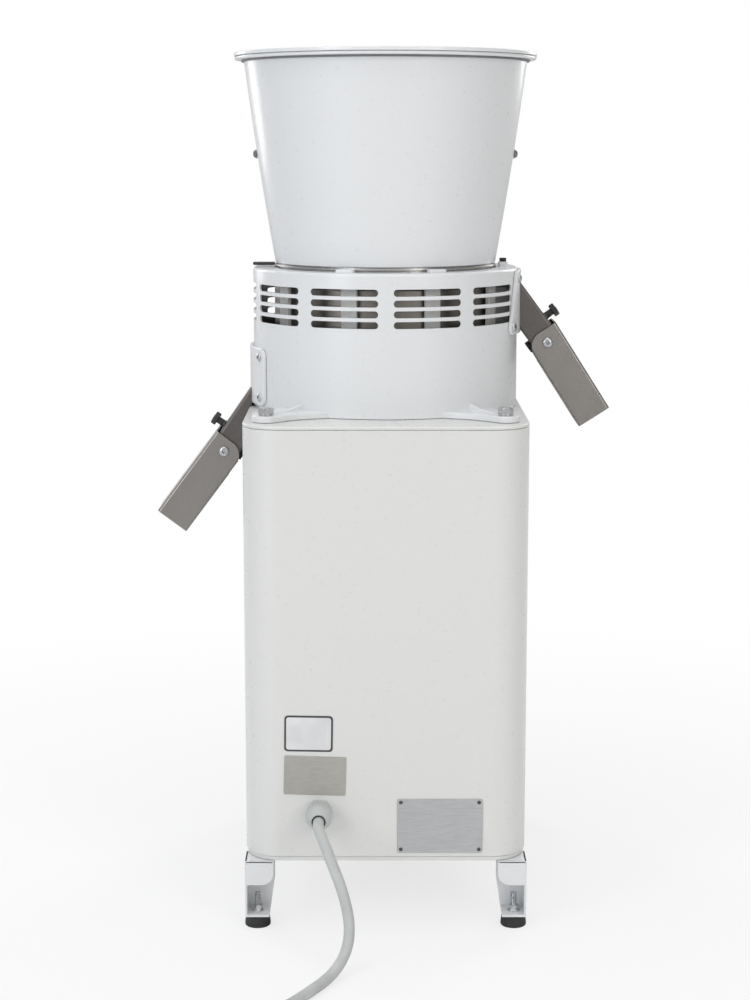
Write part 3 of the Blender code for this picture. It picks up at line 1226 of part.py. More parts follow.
def build_motor():
    """A flanged, finned motor hung under the top plate, with its shaft, fan and fan cover."""
    shaft = disc(SHAFT_RADIUS, SHAFT_BOTTOM_Z, SHAFT_TOP_Z, MEDIUM_SEGMENTS)
    add_part("motor_shaft", shaft, ZINC)
    outline = []
    for i in range(MOTOR_FINS):
        start = math.tau * i / MOTOR_FINS
        width = math.tau / MOTOR_FINS * MOTOR_FIN_SHARE
        for radius, angle in (
            (MOTOR_RADIUS - MOTOR_FIN_DEPTH, start - width * FIN_ROOT_SHARE),
            (MOTOR_RADIUS, start),
            (MOTOR_RADIUS, start + width),
            (MOTOR_RADIUS - MOTOR_FIN_DEPTH, start + width * (1 + FIN_ROOT_SHARE)),
        ):
            outline.append((radius * math.cos(angle), radius * math.sin(angle)))
    bore = hole(SHAFT_HOLE_RADIUS, points=SMALL_SEGMENTS)
    body_z = MOTOR_BOTTOM_Z + MOTOR_HEIGHT / 2 - CLEARANCE / 2
    body = add_part("motor_body", plate([outline, bore], MOTOR_HEIGHT - CLEARANCE), CAST, (0, 0, body_z))
    seat = MOTOR_HEIGHT / 2 - BEARING_WIDTH
    for side in (1, -1):
        low, high = sorted((side * seat, side * (MOTOR_HEIGHT / 2 + OVERRUN)))
        cut(body, disc(BEARING_RADIUS + CLEARANCE, low, high, MEDIUM_SEGMENTS))
    for name, side in (("upper", 1), ("lower", -1)):
        middle = body_z + side * (seat + BEARING_WIDTH / 2)
        half = BEARING_WIDTH / 2 - 2 * CLEARANCE
        race = ring(BEARING_RADIUS, SHAFT_RADIUS + CLEARANCE, middle - half, middle + half, MEDIUM_SEGMENTS)
        add_part(name + "_bearing", race, ZINC)
    holes = [
        (MOTOR_BOLT_CIRCLE * math.cos(math.tau * (i + 1 / 2) / MOTOR_BOLT_COUNT),
         MOTOR_BOLT_CIRCLE * math.sin(math.tau * (i + 1 / 2) / MOTOR_BOLT_COUNT))
        for i in range(MOTOR_BOLT_COUNT)
    ]
    flange_thickness = MOTOR_FLANGE_THICKNESS - CLEARANCE
    flange = add_part(
        "motor_flange",
        plate([circle(MOTOR_FLANGE_RADIUS, points=ROUND_SEGMENTS), bore], flange_thickness),
        CAST,
        (0, 0, MOTOR_FLANGE_TOP_Z - flange_thickness / 2),
    )
    for x, y in holes:
        head_height = HOUSING_BOLT_HEAD + flange_thickness / 2
        head = plate([hexagon(HOUSING_BOLT_ACROSS)], head_height)
        join(flange, moved(head, (x, y, -head_height / 2)))
    cover_bottom = FAN_COVER_TOP_Z - FAN_COVER_HEIGHT
    inner = MOTOR_RADIUS - FAN_COVER_WALL
    grille_hole = FAN_HUB_RADIUS + OVERRUN
    cover = [
        (MOTOR_RADIUS, FAN_COVER_TOP_Z),
        (MOTOR_RADIUS, cover_bottom + FAN_COVER_WALL),
        (inner, cover_bottom),
        (grille_hole, cover_bottom),
        (grille_hole, cover_bottom + FAN_COVER_WALL),
        (inner, cover_bottom + FAN_COVER_WALL),
        (inner, FAN_COVER_TOP_Z),
    ]
    cover_part = add_part("motor_fan_cover", turned(cover, MEDIUM_SEGMENTS, closed=True), BLACK_PLASTIC)
    slots = []
    slot_length = inner - grille_hole - 4 * OVERRUN
    for i in range(FAN_COVER_SLOTS):
        outline = slot(slot_length, BASE_VENT_WIDTH, ((inner + grille_hole) / 2, 0))
        cutter = plate([outline], 4 * FAN_COVER_WALL)
        slots.append(moved(cutter, (0, 0, cover_bottom), (0, 0, math.tau * i / (FAN_COVER_SLOTS))))
    cut(cover_part, group(slots))
    fan_bottom = cover_bottom + 4 * FAN_COVER_WALL
    fan_top = fan_bottom + FAN_HEIGHT
    hub = ring(FAN_HUB_RADIUS, SHAFT_RADIUS + CLEARANCE, fan_bottom, fan_top, MEDIUM_SEGMENTS)
    fan = add_part("cooling_fan", hub, BLACK_PLASTIC)
    root = SHAFT_RADIUS + FAN_BLADE_THICKNESS
    for i in range(FAN_BLADES):
        blade = moved(
            box(FAN_RADIUS - root, FAN_BLADE_THICKNESS, FAN_HEIGHT - OVERRUN),
            ((FAN_RADIUS + root) / 2, 0, fan_bottom + FAN_HEIGHT / 2),
        )
        join(fan, blade, rotation=(0, 0, math.tau * i / FAN_BLADES))


def build_electrics():
    """The motor capacitor, and the switch with its two buttons."""
    capacitor_bottom = BASE_TOP_Z + CLEARANCE
    capacitor = disc(CAPACITOR_RADIUS, 0, CAPACITOR_HEIGHT, MEDIUM_SEGMENTS)
    add_part("motor_capacitor", capacitor, GREY_PLASTIC, (CAPACITOR_X, CAPACITOR_Y, capacitor_bottom))
    bezel_y = BEZEL_FRONT_Y + SWITCH_BEZEL / 2
    outline = rounded_rectangle(SWITCH_WIDTH, SWITCH_HEIGHT, FRONT_PANEL_CORNER_RADIUS)
    bezel = plate([outline], SWITCH_BEZEL, "XZ")
    switch = add_part("switch_body", bezel, BLACK_PLASTIC, (0, bezel_y, SWITCH_Z))
    body = box(SWITCH_BODY_WIDTH, SWITCH_BODY_DEPTH, SWITCH_BODY_HEIGHT)
    join(switch, moved(body, (0, SWITCH_BODY_DEPTH / 2, 0)))
    inside = 2 * BUTTON_TRAVEL
    depth = inside + BUTTON_TRAVEL + OVERRUN
    looks = (
        ("start_button", BUTTON_SPACING / 2, GREEN_PLASTIC, BUTTON_PROUD),
        ("stop_button", -BUTTON_SPACING / 2, RED_PLASTIC, BUTTON_PROUD + STOP_EXTRA_PROUD),
    )
    for name, offset, look, proud in looks:
        bore = disc(BUTTON_RADIUS + CLEARANCE, -depth, OVERRUN, MEDIUM_SEGMENTS)
        cut(switch, bore, (0, -SWITCH_BEZEL / 2, offset), (math.pi / 2, 0, 0))
        edge = BUTTON_PROUD / 4
        profile = [
            (0, proud),
            (BUTTON_RADIUS - edge, proud),
            (BUTTON_RADIUS, proud - edge),
            (BUTTON_RADIUS, -inside),
            (0, -inside),
        ]
        place = (0, BEZEL_FRONT_Y, SWITCH_Z + offset)
        add_part(name, turned(profile, MEDIUM_SEGMENTS), look, place, (math.pi / 2, 0, 0))


def build_gland():
    """The cable gland, whose thread goes through the back wall."""
    start = CLEARANCE
    profile = [
        (0, start + GLAND_HEX_LENGTH + GLAND_DOME_LENGTH),
        (GLAND_MOUTH_RADIUS, start + GLAND_HEX_LENGTH + GLAND_DOME_LENGTH),
        (GLAND_RADIUS - GLAND_TAPER, start + GLAND_HEX_LENGTH + GLAND_DOME_LENGTH / 2),
        (GLAND_RADIUS, start + GLAND_HEX_LENGTH),
        (GLAND_RADIUS, start),
        (GLAND_THREAD_RADIUS, start),
        (GLAND_THREAD_RADIUS, -GLAND_INNER_LENGTH),
        (0, -GLAND_INNER_LENGTH),
    ]
    place = (GLAND_X, BACK_Y, GLAND_Z)
    outward = (-math.pi / 2, 0, 0)
    add_part("cable_gland", turned(profile, CABLE_SEGMENTS), GREY_PLASTIC, place, outward)


COIL_Z = CABLE_RADIUS + TIE_THICKNESS + 2 * CLEARANCE
COIL_OUTER_RADIUS = COIL_RADIUS + COIL_STEP * COIL_TURNS_PER_LAYER / 2
COIL_START_X = COIL_X - 2 * CABLE_RADIUS
COIL_START_Y = COIL_Y - COIL_OUTER_RADIUS
GLAND_FACE_Y = BACK_Y + GLAND_HEX_LENGTH + GLAND_DOME_LENGTH + 2 * CLEARANCE

# The route of the free stretch, chosen by hand, from the gland to the start of the coil
CORD_ROUTE = (
    (GLAND_X, GLAND_FACE_Y, GLAND_Z),
    (GLAND_X, GLAND_FACE_Y + 2 * CABLE_RADIUS, GLAND_Z),
    (0.0620, 0.2360, 0.1172),
    (0.0570, 0.2480, 0.1085),
    (0.0505, 0.2575, 0.0945),
    (0.0430, 0.2645, 0.0770),
    (0.0372, 0.2700, 0.0585),
    (0.0343, 0.2760, 0.0410),
    (0.0355, 0.2835, 0.0260),
    (0.0410, 0.2940, 0.0145),
    (0.0488, 0.3075, 0.0080),
    (0.0570, 0.3220, 0.0057),
    (0.0655, 0.3370, 0.0053),
    (0.0742, 0.3525, 0.0053),
    (0.0835, 0.3680, 0.0054),
    (0.0935, 0.3825, 0.0056),
    (0.1050, 0.3955, 0.0058),
    (0.1170, 0.4050, 0.0060),
    (COIL_START_X - 2 * CABLE_RADIUS, COIL_START_Y, COIL_Z),
    (COIL_START_X - CLEARANCE, COIL_START_Y, COIL_Z),
)
ROUTE_STEPS = 2


def smooth_route(route, steps):
    """Points on a Catmull-Rom curve through the route, which keeps its first and last run straight."""
    points = [Vector(place) for place in route]
    result = [points[0]]
    for i in range(1, len(points) - 2):
        before, here, ahead, after = points[i - 1 : i + 3]
        for step in range(steps):
            t = step / steps
            result.append(
                (
                    2 * here
                    + (ahead - before) * t
                    + (2 * before - 5 * here + 4 * ahead - after) * t**2
                    + (3 * here - before - 3 * ahead + after) * t**3
                )
                / 2
            )
    return result + points[-2:]


def coil_points():
    """Loops that spiral in, climb a layer in a half turn and spiral out above."""
    per_turn = COIL_POINTS_PER_TURN
    layer = COIL_TURNS_PER_LAYER * per_turn
    climb = per_turn // 2
    inner = COIL_OUTER_RADIUS - COIL_STEP * COIL_TURNS_PER_LAYER
    points = [Vector((COIL_START_X, COIL_START_Y, COIL_Z))]
    for i in range(2 * layer + climb + 1):
        if i <= layer:
            radius, height = COIL_OUTER_RADIUS - COIL_STEP * i / per_turn, COIL_Z
        elif i < layer + climb:
            t = (i - layer) / climb
            radius = inner - COIL_STEP / 2 * t * (1 - t)
            height = COIL_Z + COIL_LAYER_RISE * t * t * (3 - 2 * t)
        else:
            radius = inner + COIL_STEP * (i - layer - climb) / per_turn
            height = COIL_Z + COIL_LAYER_RISE
            t = max(0, (i - 2 * layer - climb + per_turn // 4) / (per_turn // 4))
            radius += COIL_EXIT * t * t * (3 - 2 * t)
        angle = math.tau * i / per_turn - math.pi / 2
        turn = Vector((math.cos(angle), math.sin(angle), 0))
        points.append(Vector((COIL_X, COIL_Y, height)) + turn * radius)
    end = points[-1]
    points.append(Vector((end.x - 2 * CABLE_RADIUS, end.y, end.z)))
    return points


def least_self_gap(points, radius, apart):
    """The least clear distance between turns, on points at least some way apart along the tube."""
    least = math.inf
    for i, first in enumerate(points):
        for second in points[i + apart :]:
            least = min(least, (first - second).length)
    return least - 2 * radius


def tube(points, bevel_resolution):
    curve = bpy.data.curves.new("cord", "CURVE")
    curve.dimensions = "3D"
    curve.bevel_depth = CABLE_RADIUS
    curve.bevel_resolution = bevel_resolution
    curve.use_fill_caps = True
    spline = curve.splines.new("POLY")
    spline.points.add(len(points) - 1)
    for point, place in zip(spline.points, points):
        point.co = (*place, 1)
    return as_mesh(bpy.data.objects.new("cord", curve))


def build_cord():
    """The free cable, the coil of the rest of its length, the tie and the plug."""
    add_part("power_cord", tube(smooth_route(CORD_ROUTE, ROUTE_STEPS), 2), CABLE_GREY)
    loops = coil_points()
    gap = least_self_gap(loops, CABLE_RADIUS, COIL_POINTS_PER_TURN // 2)
    print(f"cord_coil: least gap to itself {gap * MILLIMETRES:.2f} mm")
    add_part("cord_coil", tube(loops, 1), CABLE_GREY)
    inner = COIL_OUTER_RADIUS - COIL_STEP * COIL_TURNS_PER_LAYER - COIL_SIDEWAYS
    half_width = (COIL_OUTER_RADIUS - inner) / 2 + CABLE_RADIUS + 2 * CLEARANCE
    low = COIL_Z - CABLE_RADIUS - CLEARANCE
    high = COIL_Z + COIL_LAYER_RISE + CABLE_RADIUS + CLEARANCE
    centre = ((COIL_OUTER_RADIUS + inner) / 2, (low + high) / 2)
    hole = rounded_rectangle(2 * half_width, high - low, CABLE_RADIUS, centre=centre)
    edge = rounded_rectangle(
        2 * (half_width + TIE_THICKNESS),
        high - low + 2 * TIE_THICKNESS,
        CABLE_RADIUS + TIE_THICKNESS,
        centre=centre,
    )
    add_part("coil_tie", plate([edge, hole], TIE_WIDTH, "XZ"), BLACK_PLASTIC, (COIL_X, COIL_Y, 0))
    build_plug(loops[-1])


def build_plug(cord_end):
    """A two-pin plug with a tapered neck, lying where the coil ends."""
    radius = cord_end.z
    neck = PLUG_LENGTH / 3
    profile = [
        (0, PLUG_LENGTH),
        (radius * PLUG_FACE_SHARE, PLUG_LENGTH),
        (radius, PLUG_LENGTH - radius / 4),
        (radius, neck + radius / 2),
        (PLUG_NECK_RADIUS, neck),
        (PLUG_CABLE_END_RADIUS, 0),
        (0, 0),
    ]
    place = (cord_end.x - CLEARANCE, cord_end.y, cord_end.z)
    along = (0, -math.pi / 2, 0)
    plug = add_part("plug_body", turned(profile, CABLE_SEGMENTS), CABLE_GREY, place, along)
    for side in (1, -1):
        pin = disc(PLUG_PIN_RADIUS, -PLUG_PIN_LENGTH / 2, PLUG_PIN_LENGTH, BOLT_SEGMENTS)
        join(plug, moved(pin, (0, side * PLUG_PIN_SPACING / 2, PLUG_LENGTH)))


def main():
    build_cabinet()
    build_legs()
    housing = build_housing()
    chamber = build_chamber()
    build_stones()
    build_adjusting_ring()
    build_hopper()
    build_outlets_and_chutes(housing, chamber)
    build_motor()
    build_electrics()
    build_gland()
    build_cord()


main()
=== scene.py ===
"""A white electric grain mill with two tilting steel outlets, seen from behind.

Metres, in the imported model's frame. Meshes are made round the mill's upright axis, and their
objects stand at that axis. In the names, left is +X, right is -X and back is +Y.
"""

import math

import bmesh
import bpy
from mathutils import Matrix, Vector


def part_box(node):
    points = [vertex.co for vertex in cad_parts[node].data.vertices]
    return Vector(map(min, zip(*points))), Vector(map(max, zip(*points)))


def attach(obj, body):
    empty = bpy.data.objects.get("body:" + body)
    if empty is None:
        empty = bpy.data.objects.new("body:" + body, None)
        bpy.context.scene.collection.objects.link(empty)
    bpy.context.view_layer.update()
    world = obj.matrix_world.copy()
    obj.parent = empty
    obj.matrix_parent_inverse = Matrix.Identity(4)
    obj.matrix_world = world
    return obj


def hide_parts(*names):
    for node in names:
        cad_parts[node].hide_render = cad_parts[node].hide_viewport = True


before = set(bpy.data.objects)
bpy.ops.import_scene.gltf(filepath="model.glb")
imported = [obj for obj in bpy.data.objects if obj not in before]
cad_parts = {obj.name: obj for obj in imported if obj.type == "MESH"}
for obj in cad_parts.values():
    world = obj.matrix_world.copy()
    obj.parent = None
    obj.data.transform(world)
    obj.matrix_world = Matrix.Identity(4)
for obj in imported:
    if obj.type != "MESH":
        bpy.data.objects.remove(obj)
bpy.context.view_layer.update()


def middle_of(node):
    low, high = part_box(node)
    return (Vector(low) + Vector(high)) / 2


AXIS = Vector((middle_of("top_plate").x, middle_of("top_plate").y, 0))
CLEARANCE = 0.0003
OVERRUN = 0.002

# Camera, matched to the photograph's viewpoint
CAMERA_PLACE = (0.0104, 2.090, 0.751)
CAMERA_TILT = math.radians(80.3)
CAMERA_LENS = 74.2

PLANES = {
    "XY": Matrix.Identity(4),
    "XZ": Matrix.Rotation(math.pi / 2, 4, "X"),
    "YZ": Matrix(((0, 0, 1, 0), (1, 0, 0, 0), (0, 1, 0, 0), (0, 0, 0, 1))),
}
SHARP_ANGLE = math.radians(38)
FINE = 160
MEDIUM = 64
SMALL = 40
MERGE = 1e-6


# Meshes from outlines and profiles
def circle(radius, centre=(0, 0), points=SMALL):
    turns = [math.tau * i / points for i in range(points)]
    return [(centre[0] + radius * math.cos(a), centre[1] + radius * math.sin(a)) for a in turns]


def hexagon(across):
    return circle(across / math.sqrt(3), points=6)


def rectangle(width, height, centre=(0, 0)):
    x, y = width / 2, height / 2
    return [(centre[0] + x * i, centre[1] + y * j) for i, j in ((1, 1), (-1, 1), (-1, -1), (1, -1))]


def rounded(points, radius, steps=6, closed=True):
    """The outline with each corner replaced by an arc. radius is one size, or one for each corner."""
    sizes = radius if isinstance(radius, (list, tuple)) else [radius] * len(points)
    result = []
    for i, (point, size) in enumerate(zip(points, sizes)):
        here = Vector(point)
        if size <= 0 or (not closed and i in (0, len(points) - 1)):
            result.append(tuple(here))
            continue
        back = Vector(points[i - 1]) - here
        ahead = Vector(points[(i + 1) % len(points)]) - here
        half = back.angle(ahead) / 2
        if abs(half - math.pi / 2) < 0.01:
            result.append(tuple(here))
            continue
        reach = min(size / math.tan(half), back.length * 0.49, ahead.length * 0.49)
        size = reach * math.tan(half)
        middle = here + (back.normalized() + ahead.normalized()).normalized() * size / math.sin(half)
        first = here + back.normalized() * reach - middle
        last = here + ahead.normalized() * reach - middle
        turn = first.angle_signed(last)
        for step in range(steps):
            result.append(tuple(middle + Matrix.Rotation(-turn * step / (steps - 1), 2) @ first))
    return result


def box_outline(width, height, radius, centre=(0, 0), steps=6):
    return rounded(rectangle(width, height, centre), radius, steps)


def slot(length, width, centre=(0, 0), steps=10):
    return box_outline(length, width, width / 2 * 0.999, centre, steps)


def cleaned(mesh):
    work = bmesh.new()
    work.from_mesh(mesh)
    bmesh.ops.remove_doubles(work, verts=work.verts, dist=MERGE)
    bmesh.ops.recalc_face_normals(work, faces=work.faces)
    work.to_mesh(mesh)
    work.free()
    return mesh


def realised(obj):
    """The object's evaluated shape as a new mesh. The object is removed."""
    if obj.name not in bpy.context.scene.collection.objects:
        bpy.context.scene.collection.objects.link(obj)
    graph = bpy.context.evaluated_depsgraph_get()
    mesh = bpy.data.meshes.new_from_object(obj.evaluated_get(graph))
    bpy.data.objects.remove(obj)
    return mesh


def plate(outlines, thickness, plane="XY", edge=0.0004, steps=2):
    """A flat plate with holes, its edges rounded."""
    curve = bpy.data.curves.new("plate", "CURVE")
    curve.dimensions = "2D"
    curve.fill_mode = "BOTH"
    edge = min(edge, thickness * 0.49)
    curve.extrude = thickness / 2 - edge
    curve.bevel_depth = edge
    curve.bevel_resolution = steps
    curve.offset = -edge
    for outline in outlines:
        spline = curve.splines.new("POLY")
        spline.points.add(len(outline) - 1)
        for point, (x, y) in zip(spline.points, outline):
            point.co = (x, y, 0, 1)
        spline.use_cyclic_u = True
    mesh = realised(bpy.data.objects.new("plate", curve))
    mesh.transform(PLANES[plane])
    return cleaned(mesh)


def mesh_of(work, name):
    """The edited mesh, as a new one."""
    mesh = bpy.data.meshes.new(name)
    work.to_mesh(mesh)
    work.free()
    return mesh


def placed(name, data):
    """A new object in the scene."""
    obj = bpy.data.objects.new(name, data)
    bpy.context.scene.collection.objects.link(obj)
    return obj


def lathe(profile, segments=FINE, closed=False):
    """The profile of (radius, height) turned round the upright axis."""
    work = bmesh.new()
    rows = []
    for i in range(segments):
        a = math.tau * i / segments
        rows.append([work.verts.new((r * math.cos(a), r * math.sin(a), z)) for r, z in profile])
    count = len(profile) if closed else len(profile) - 1
    for i in range(segments):
        here, ahead = rows[i], rows[(i + 1) % segments]
        for j in range(count):
            k = (j + 1) % len(profile)
            work.faces.new((here[j], ahead[j], ahead[k], here[k]))
    return cleaned(mesh_of(work, "lathe"))


def loft(rows, closed_ends=True):
    """Faces between rows of points, each row a ring."""
    work = bmesh.new()
    rings = [[work.verts.new(point) for point in row] for row in rows]
    for here, ahead in zip(rings, rings[1:]):
        for i in range(len(here)):
            j = (i + 1) % len(here)
            work.faces.new((here[i], here[j], ahead[j], ahead[i]))
    if closed_ends:
        work.faces.new(rings[0])
        work.faces.new(rings[-1])
    return cleaned(mesh_of(work, "loft"))


def disc(radius, low, high, segments=32):
    """A solid cylinder round the upright axis."""
    return lathe([(0, low), (radius, low), (radius, high), (0, high)], segments)


def sleeve(inner, outer, low, high, segments=48):
    """A hollow cylinder round the upright axis."""
    return lathe([(inner, low), (inner, high), (outer, high), (outer, low)], segments, closed=True)


def moved(mesh, location=(0, 0, 0), rotation=(0, 0, 0)):
    """The mesh turned about X, then Y, then Z, and then moved."""
    x, y, z = rotation
    turn = Matrix.Rotation(z, 4, "Z") @ Matrix.Rotation(y, 4, "Y") @ Matrix.Rotation(x, 4, "X")
    mesh.transform(Matrix.Translation(location) @ turn)
    return mesh


def group(meshes):
    work = bmesh.new()
    for mesh in meshes:
        work.from_mesh(mesh)
    return mesh_of(work, "group")


def boolean(mesh, others, operation="DIFFERENCE"):
    """The mesh after an exact Boolean with each of the others."""
    obj = bpy.data.objects.new("base", mesh)
    helpers = []
    for other in others:
        helper = placed("helper", other)
        modifier = obj.modifiers.new("boolean", "BOOLEAN")
        modifier.operation = operation
        modifier.solver = "EXACT"
        modifier.object = helper
        helpers.append(helper)
    result = realised(obj)
    for helper in helpers:
        bpy.data.objects.remove(helper)
    return result


def box(width, depth, height, edge=0.0006):
    return plate([box_outline(width, depth, edge, steps=3)], height, edge=edge)


def piece(name, mesh, look, body, nodes=()):
    """A finished piece: shaded, given its material, riding on a body, in the place of its nodes."""
    obj = placed(name, mesh)
    obj.location = AXIS
    mesh.materials.clear()
    mesh.materials.append(look)
    for polygon in mesh.polygons:
        polygon.use_smooth = True
        polygon.material_index = 0
    mesh.set_sharp_from_angle(angle=SHARP_ANGLE)
    modifier = obj.modifiers.new("normals", "WEIGHTED_NORMAL")
    modifier.keep_sharp = True
    bpy.context.view_layer.update()
    if nodes:
        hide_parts(*nodes)
    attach(obj, body)
    return obj


# Materials
PAINT_ROUGHNESS = 0.3


def add_node(tree, kind, inputs=(), **settings):
    """A new node with its settings and the values of its inputs."""
    node = tree.nodes.new(kind)
    for name, value in settings.items():
        setattr(node, name, value)
    for name, value in dict(inputs).items():
        node.inputs[name].default_value = value
    return node


class Look:
    """A procedural material round one Principled shader."""

    def __init__(self, name, roughness, metallic=0.0, coat=0.0):
        self.material = bpy.data.materials.new(name)
        self.material.use_nodes = True
        self.tree = self.material.node_tree
        self.shader = self.tree.nodes["Principled BSDF"]
        self.shader.inputs["Roughness"].default_value = roughness
        self.shader.inputs["Metallic"].default_value = metallic
        self.shader.inputs["Coat Weight"].default_value = coat
        self.shader.inputs["Coat Roughness"].default_value = 0.12
        self.height = None

    def node(self, kind, inputs=(), **settings):
        return add_node(self.tree, kind, inputs, **settings)

    def link(self, source, target):
        self.tree.links.new(source, target)

    def place(self, scale=(1, 1, 1)):
        """Object coordinates in metres, stretched."""
        coordinates = self.node("ShaderNodeTexCoord")
        mapping = self.node("ShaderNodeMapping", {"Scale": scale})
        self.link(coordinates.outputs["Object"], mapping.inputs["Vector"])
        return mapping.outputs["Vector"]

    def noise(self, scale, detail=3.0, stretch=(1, 1, 1)):
        made = self.node("ShaderNodeTexNoise", {"Scale": scale, "Detail": detail})
        self.link(self.place(stretch), made.inputs["Vector"])
        return made.outputs["Fac"]

    def ramp(self, source, low, high, start=0.3, end=0.7):
        """The source turned into a number between low and high."""
        limits = {"From Min": start, "From Max": end, "To Min": low, "To Max": high}
        made = self.node("ShaderNodeMapRange", limits)
        self.link(source, made.inputs["Value"])
        return made.outputs["Result"]

    def colour(self, first, second, source, start=0.35, end=0.65):
        made = self.node("ShaderNodeValToRGB")
        made.color_ramp.elements[0].color = (*first, 1)
        made.color_ramp.elements[0].position = start
        made.color_ramp.elements[1].color = (*second, 1)
        made.color_ramp.elements[1].position = end
        self.link(source, made.inputs["Fac"])
        self.link(made.outputs["Color"], self.shader.inputs["Base Color"])

    def rough(self, source, low, high):
        self.link(self.ramp(source, low, high), self.shader.inputs["Roughness"])

    def bump(self, source, distance, strength=1.0):
        """Adds a height in metres. Several of them are chained."""
        made = self.node("ShaderNodeBump", {"Distance": distance, "Strength": strength})
        self.link(source, made.inputs["Height"])
        if self.height:
            self.link(self.height, made.inputs["Normal"])
        self.height = made.outputs["Normal"]
        self.link(self.height, self.shader.inputs["Normal"])


def mixed(first, second, share):
    return tuple(a + (b - a) * share for a, b in zip(first, second))


def powder_coat(look):
    """A fine orange peel and a soft gloss."""
    look.rough(look.noise(240, 2), PAINT_ROUGHNESS - 0.03, PAINT_ROUGHNESS + 0.04)
    look.bump(look.noise(420, 2), 0.00008, 0.4)
    return look.material


def painted(name, colour):
    """Powder coat, faintly cloudy."""
    look = Look(name, PAINT_ROUGHNESS, coat=0.25)
    look.colour(mixed(colour, (0, 0, 0), 0.01), colour, look.noise(160, 2), 0.2, 0.8)
    return powder_coat(look)


def paint_with_inner_shade(name, outside, inside, radius, top):
    """Powder coat on the outside of a drum, and a near-black colour on its inside as painted shade for the
    drum's unlit inside.
    """
    look = Look(name, PAINT_ROUGHNESS, coat=0.25)
    length = look.node("ShaderNodeVectorMath", operation="LENGTH")
    look.link(look.place((1, 1, 0)), length.inputs[0])
    height = look.node("ShaderNodeSeparateXYZ")
    look.link(look.place(), height.inputs[0])
    outer = look.node("ShaderNodeMath", operation="MAXIMUM")
    look.link(look.ramp(length.outputs["Value"], 0, 1, radius - CLEARANCE, radius), outer.inputs[0])
    look.link(look.ramp(height.outputs["Z"], 0, 1, top - CLEARANCE, top), outer.inputs[1])
    # Inside the wall and under the top the colour turns to the inside colour: painted shade, not the drum's
    # own colour.
    look.colour(inside, outside, outer.outputs[0], 0.4, 0.6)
    return powder_coat(look)


def brushed(name, colour, stretch, roughness=0.3, depth=0.00004):
    """Sheet steel brushed along one way, with faint stains."""
    look = Look(name, roughness, metallic=1.0)
    grain = look.noise(1600, 3, stretch)
    look.colour(mixed(colour, (0, 0, 0), 0.16), mixed(colour, (1, 1, 1), 0.06), grain, 0.25, 0.75)
    look.rough(look.noise(24, 4), roughness - 0.06, roughness + 0.1)
    look.bump(grain, depth, 0.6)
    return look.material


def plated(name, colour, roughness=0.25):
    """Zinc or turned steel, slightly mottled."""
    look = Look(name, roughness, metallic=1.0)
    look.colour(mixed(colour, (0, 0, 0), 0.18), colour, look.noise(260, 4))
    look.rough(look.noise(500, 3), roughness - 0.05, roughness + 0.12)
    look.bump(look.noise(1800, 2), 0.00002, 0.5)
    return look.material


def moulded(name, colour, roughness, grain, depth, coat=0.0):
    """Plastic or rubber with a moulded grain."""
    look = Look(name, roughness, coat=coat)
    look.colour(mixed(colour, (0, 0, 0), 0.12), mixed(colour, (1, 1, 1), 0.02), look.noise(40, 4))
    look.rough(look.noise(90, 3), roughness - 0.05, roughness + 0.06)
    look.bump(look.noise(grain, 2), depth, 0.6)
    return look.material


def rough_cast(name, colour, metallic, roughness, grain, depth):
    """A casting or a grinding stone."""
    look = Look(name, roughness, metallic=metallic)
    look.colour(mixed(colour, (0, 0, 0), 0.3), mixed(colour, (1, 1, 1), 0.1), look.noise(grain, 6))
    look.rough(look.noise(grain / 4, 3), roughness - 0.08, roughness + 0.08)
    look.bump(look.noise(grain, 5), depth, 0.8)
    return look.material


WHITE = painted("white paint", (0.785, 0.796, 0.81))
CABINET_WHITE = painted("cabinet paint", (0.755, 0.757, 0.742))
STEEL = brushed("stainless steel", (0.33, 0.311, 0.293), (1, 0.04, 1), 0.34)
# A darker copy of the stainless steel, as painted shade on the inner chutes that lie in the drum's shadow.
STEEL_SHADED = brushed("stainless steel darkened as painted shade", (0.15, 0.136, 0.13), (1, 0.04, 1), 0.4)
STEEL_TURNED = brushed("turned stainless steel", (0.52, 0.51, 0.50), (0.2, 0.2, 1), 0.26)
STEEL_INSIDE = brushed("stainless chamber", (0.30, 0.275, 0.25), (0.2, 0.2, 1), 0.42)
ZINC = plated("zinc", (0.62, 0.63, 0.64))
DARK_ZINC = plated("dark zinc", (0.24, 0.245, 0.25))
BEARING = plated("bearing steel", (0.70, 0.70, 0.71), 0.16)
RUBBER = moulded("black rubber", (0.022, 0.022, 0.023), 0.72, 700, 0.00008)
BLACK = moulded("black plastic", (0.018, 0.018, 0.019), 0.38, 1300, 0.00004, 0.1)
GREY = moulded("grey plastic", (0.54, 0.56, 0.555), 0.4, 1100, 0.00003)
SHEATH = moulded("cable sheath", (0.56, 0.575, 0.57), 0.42, 900, 0.00004)
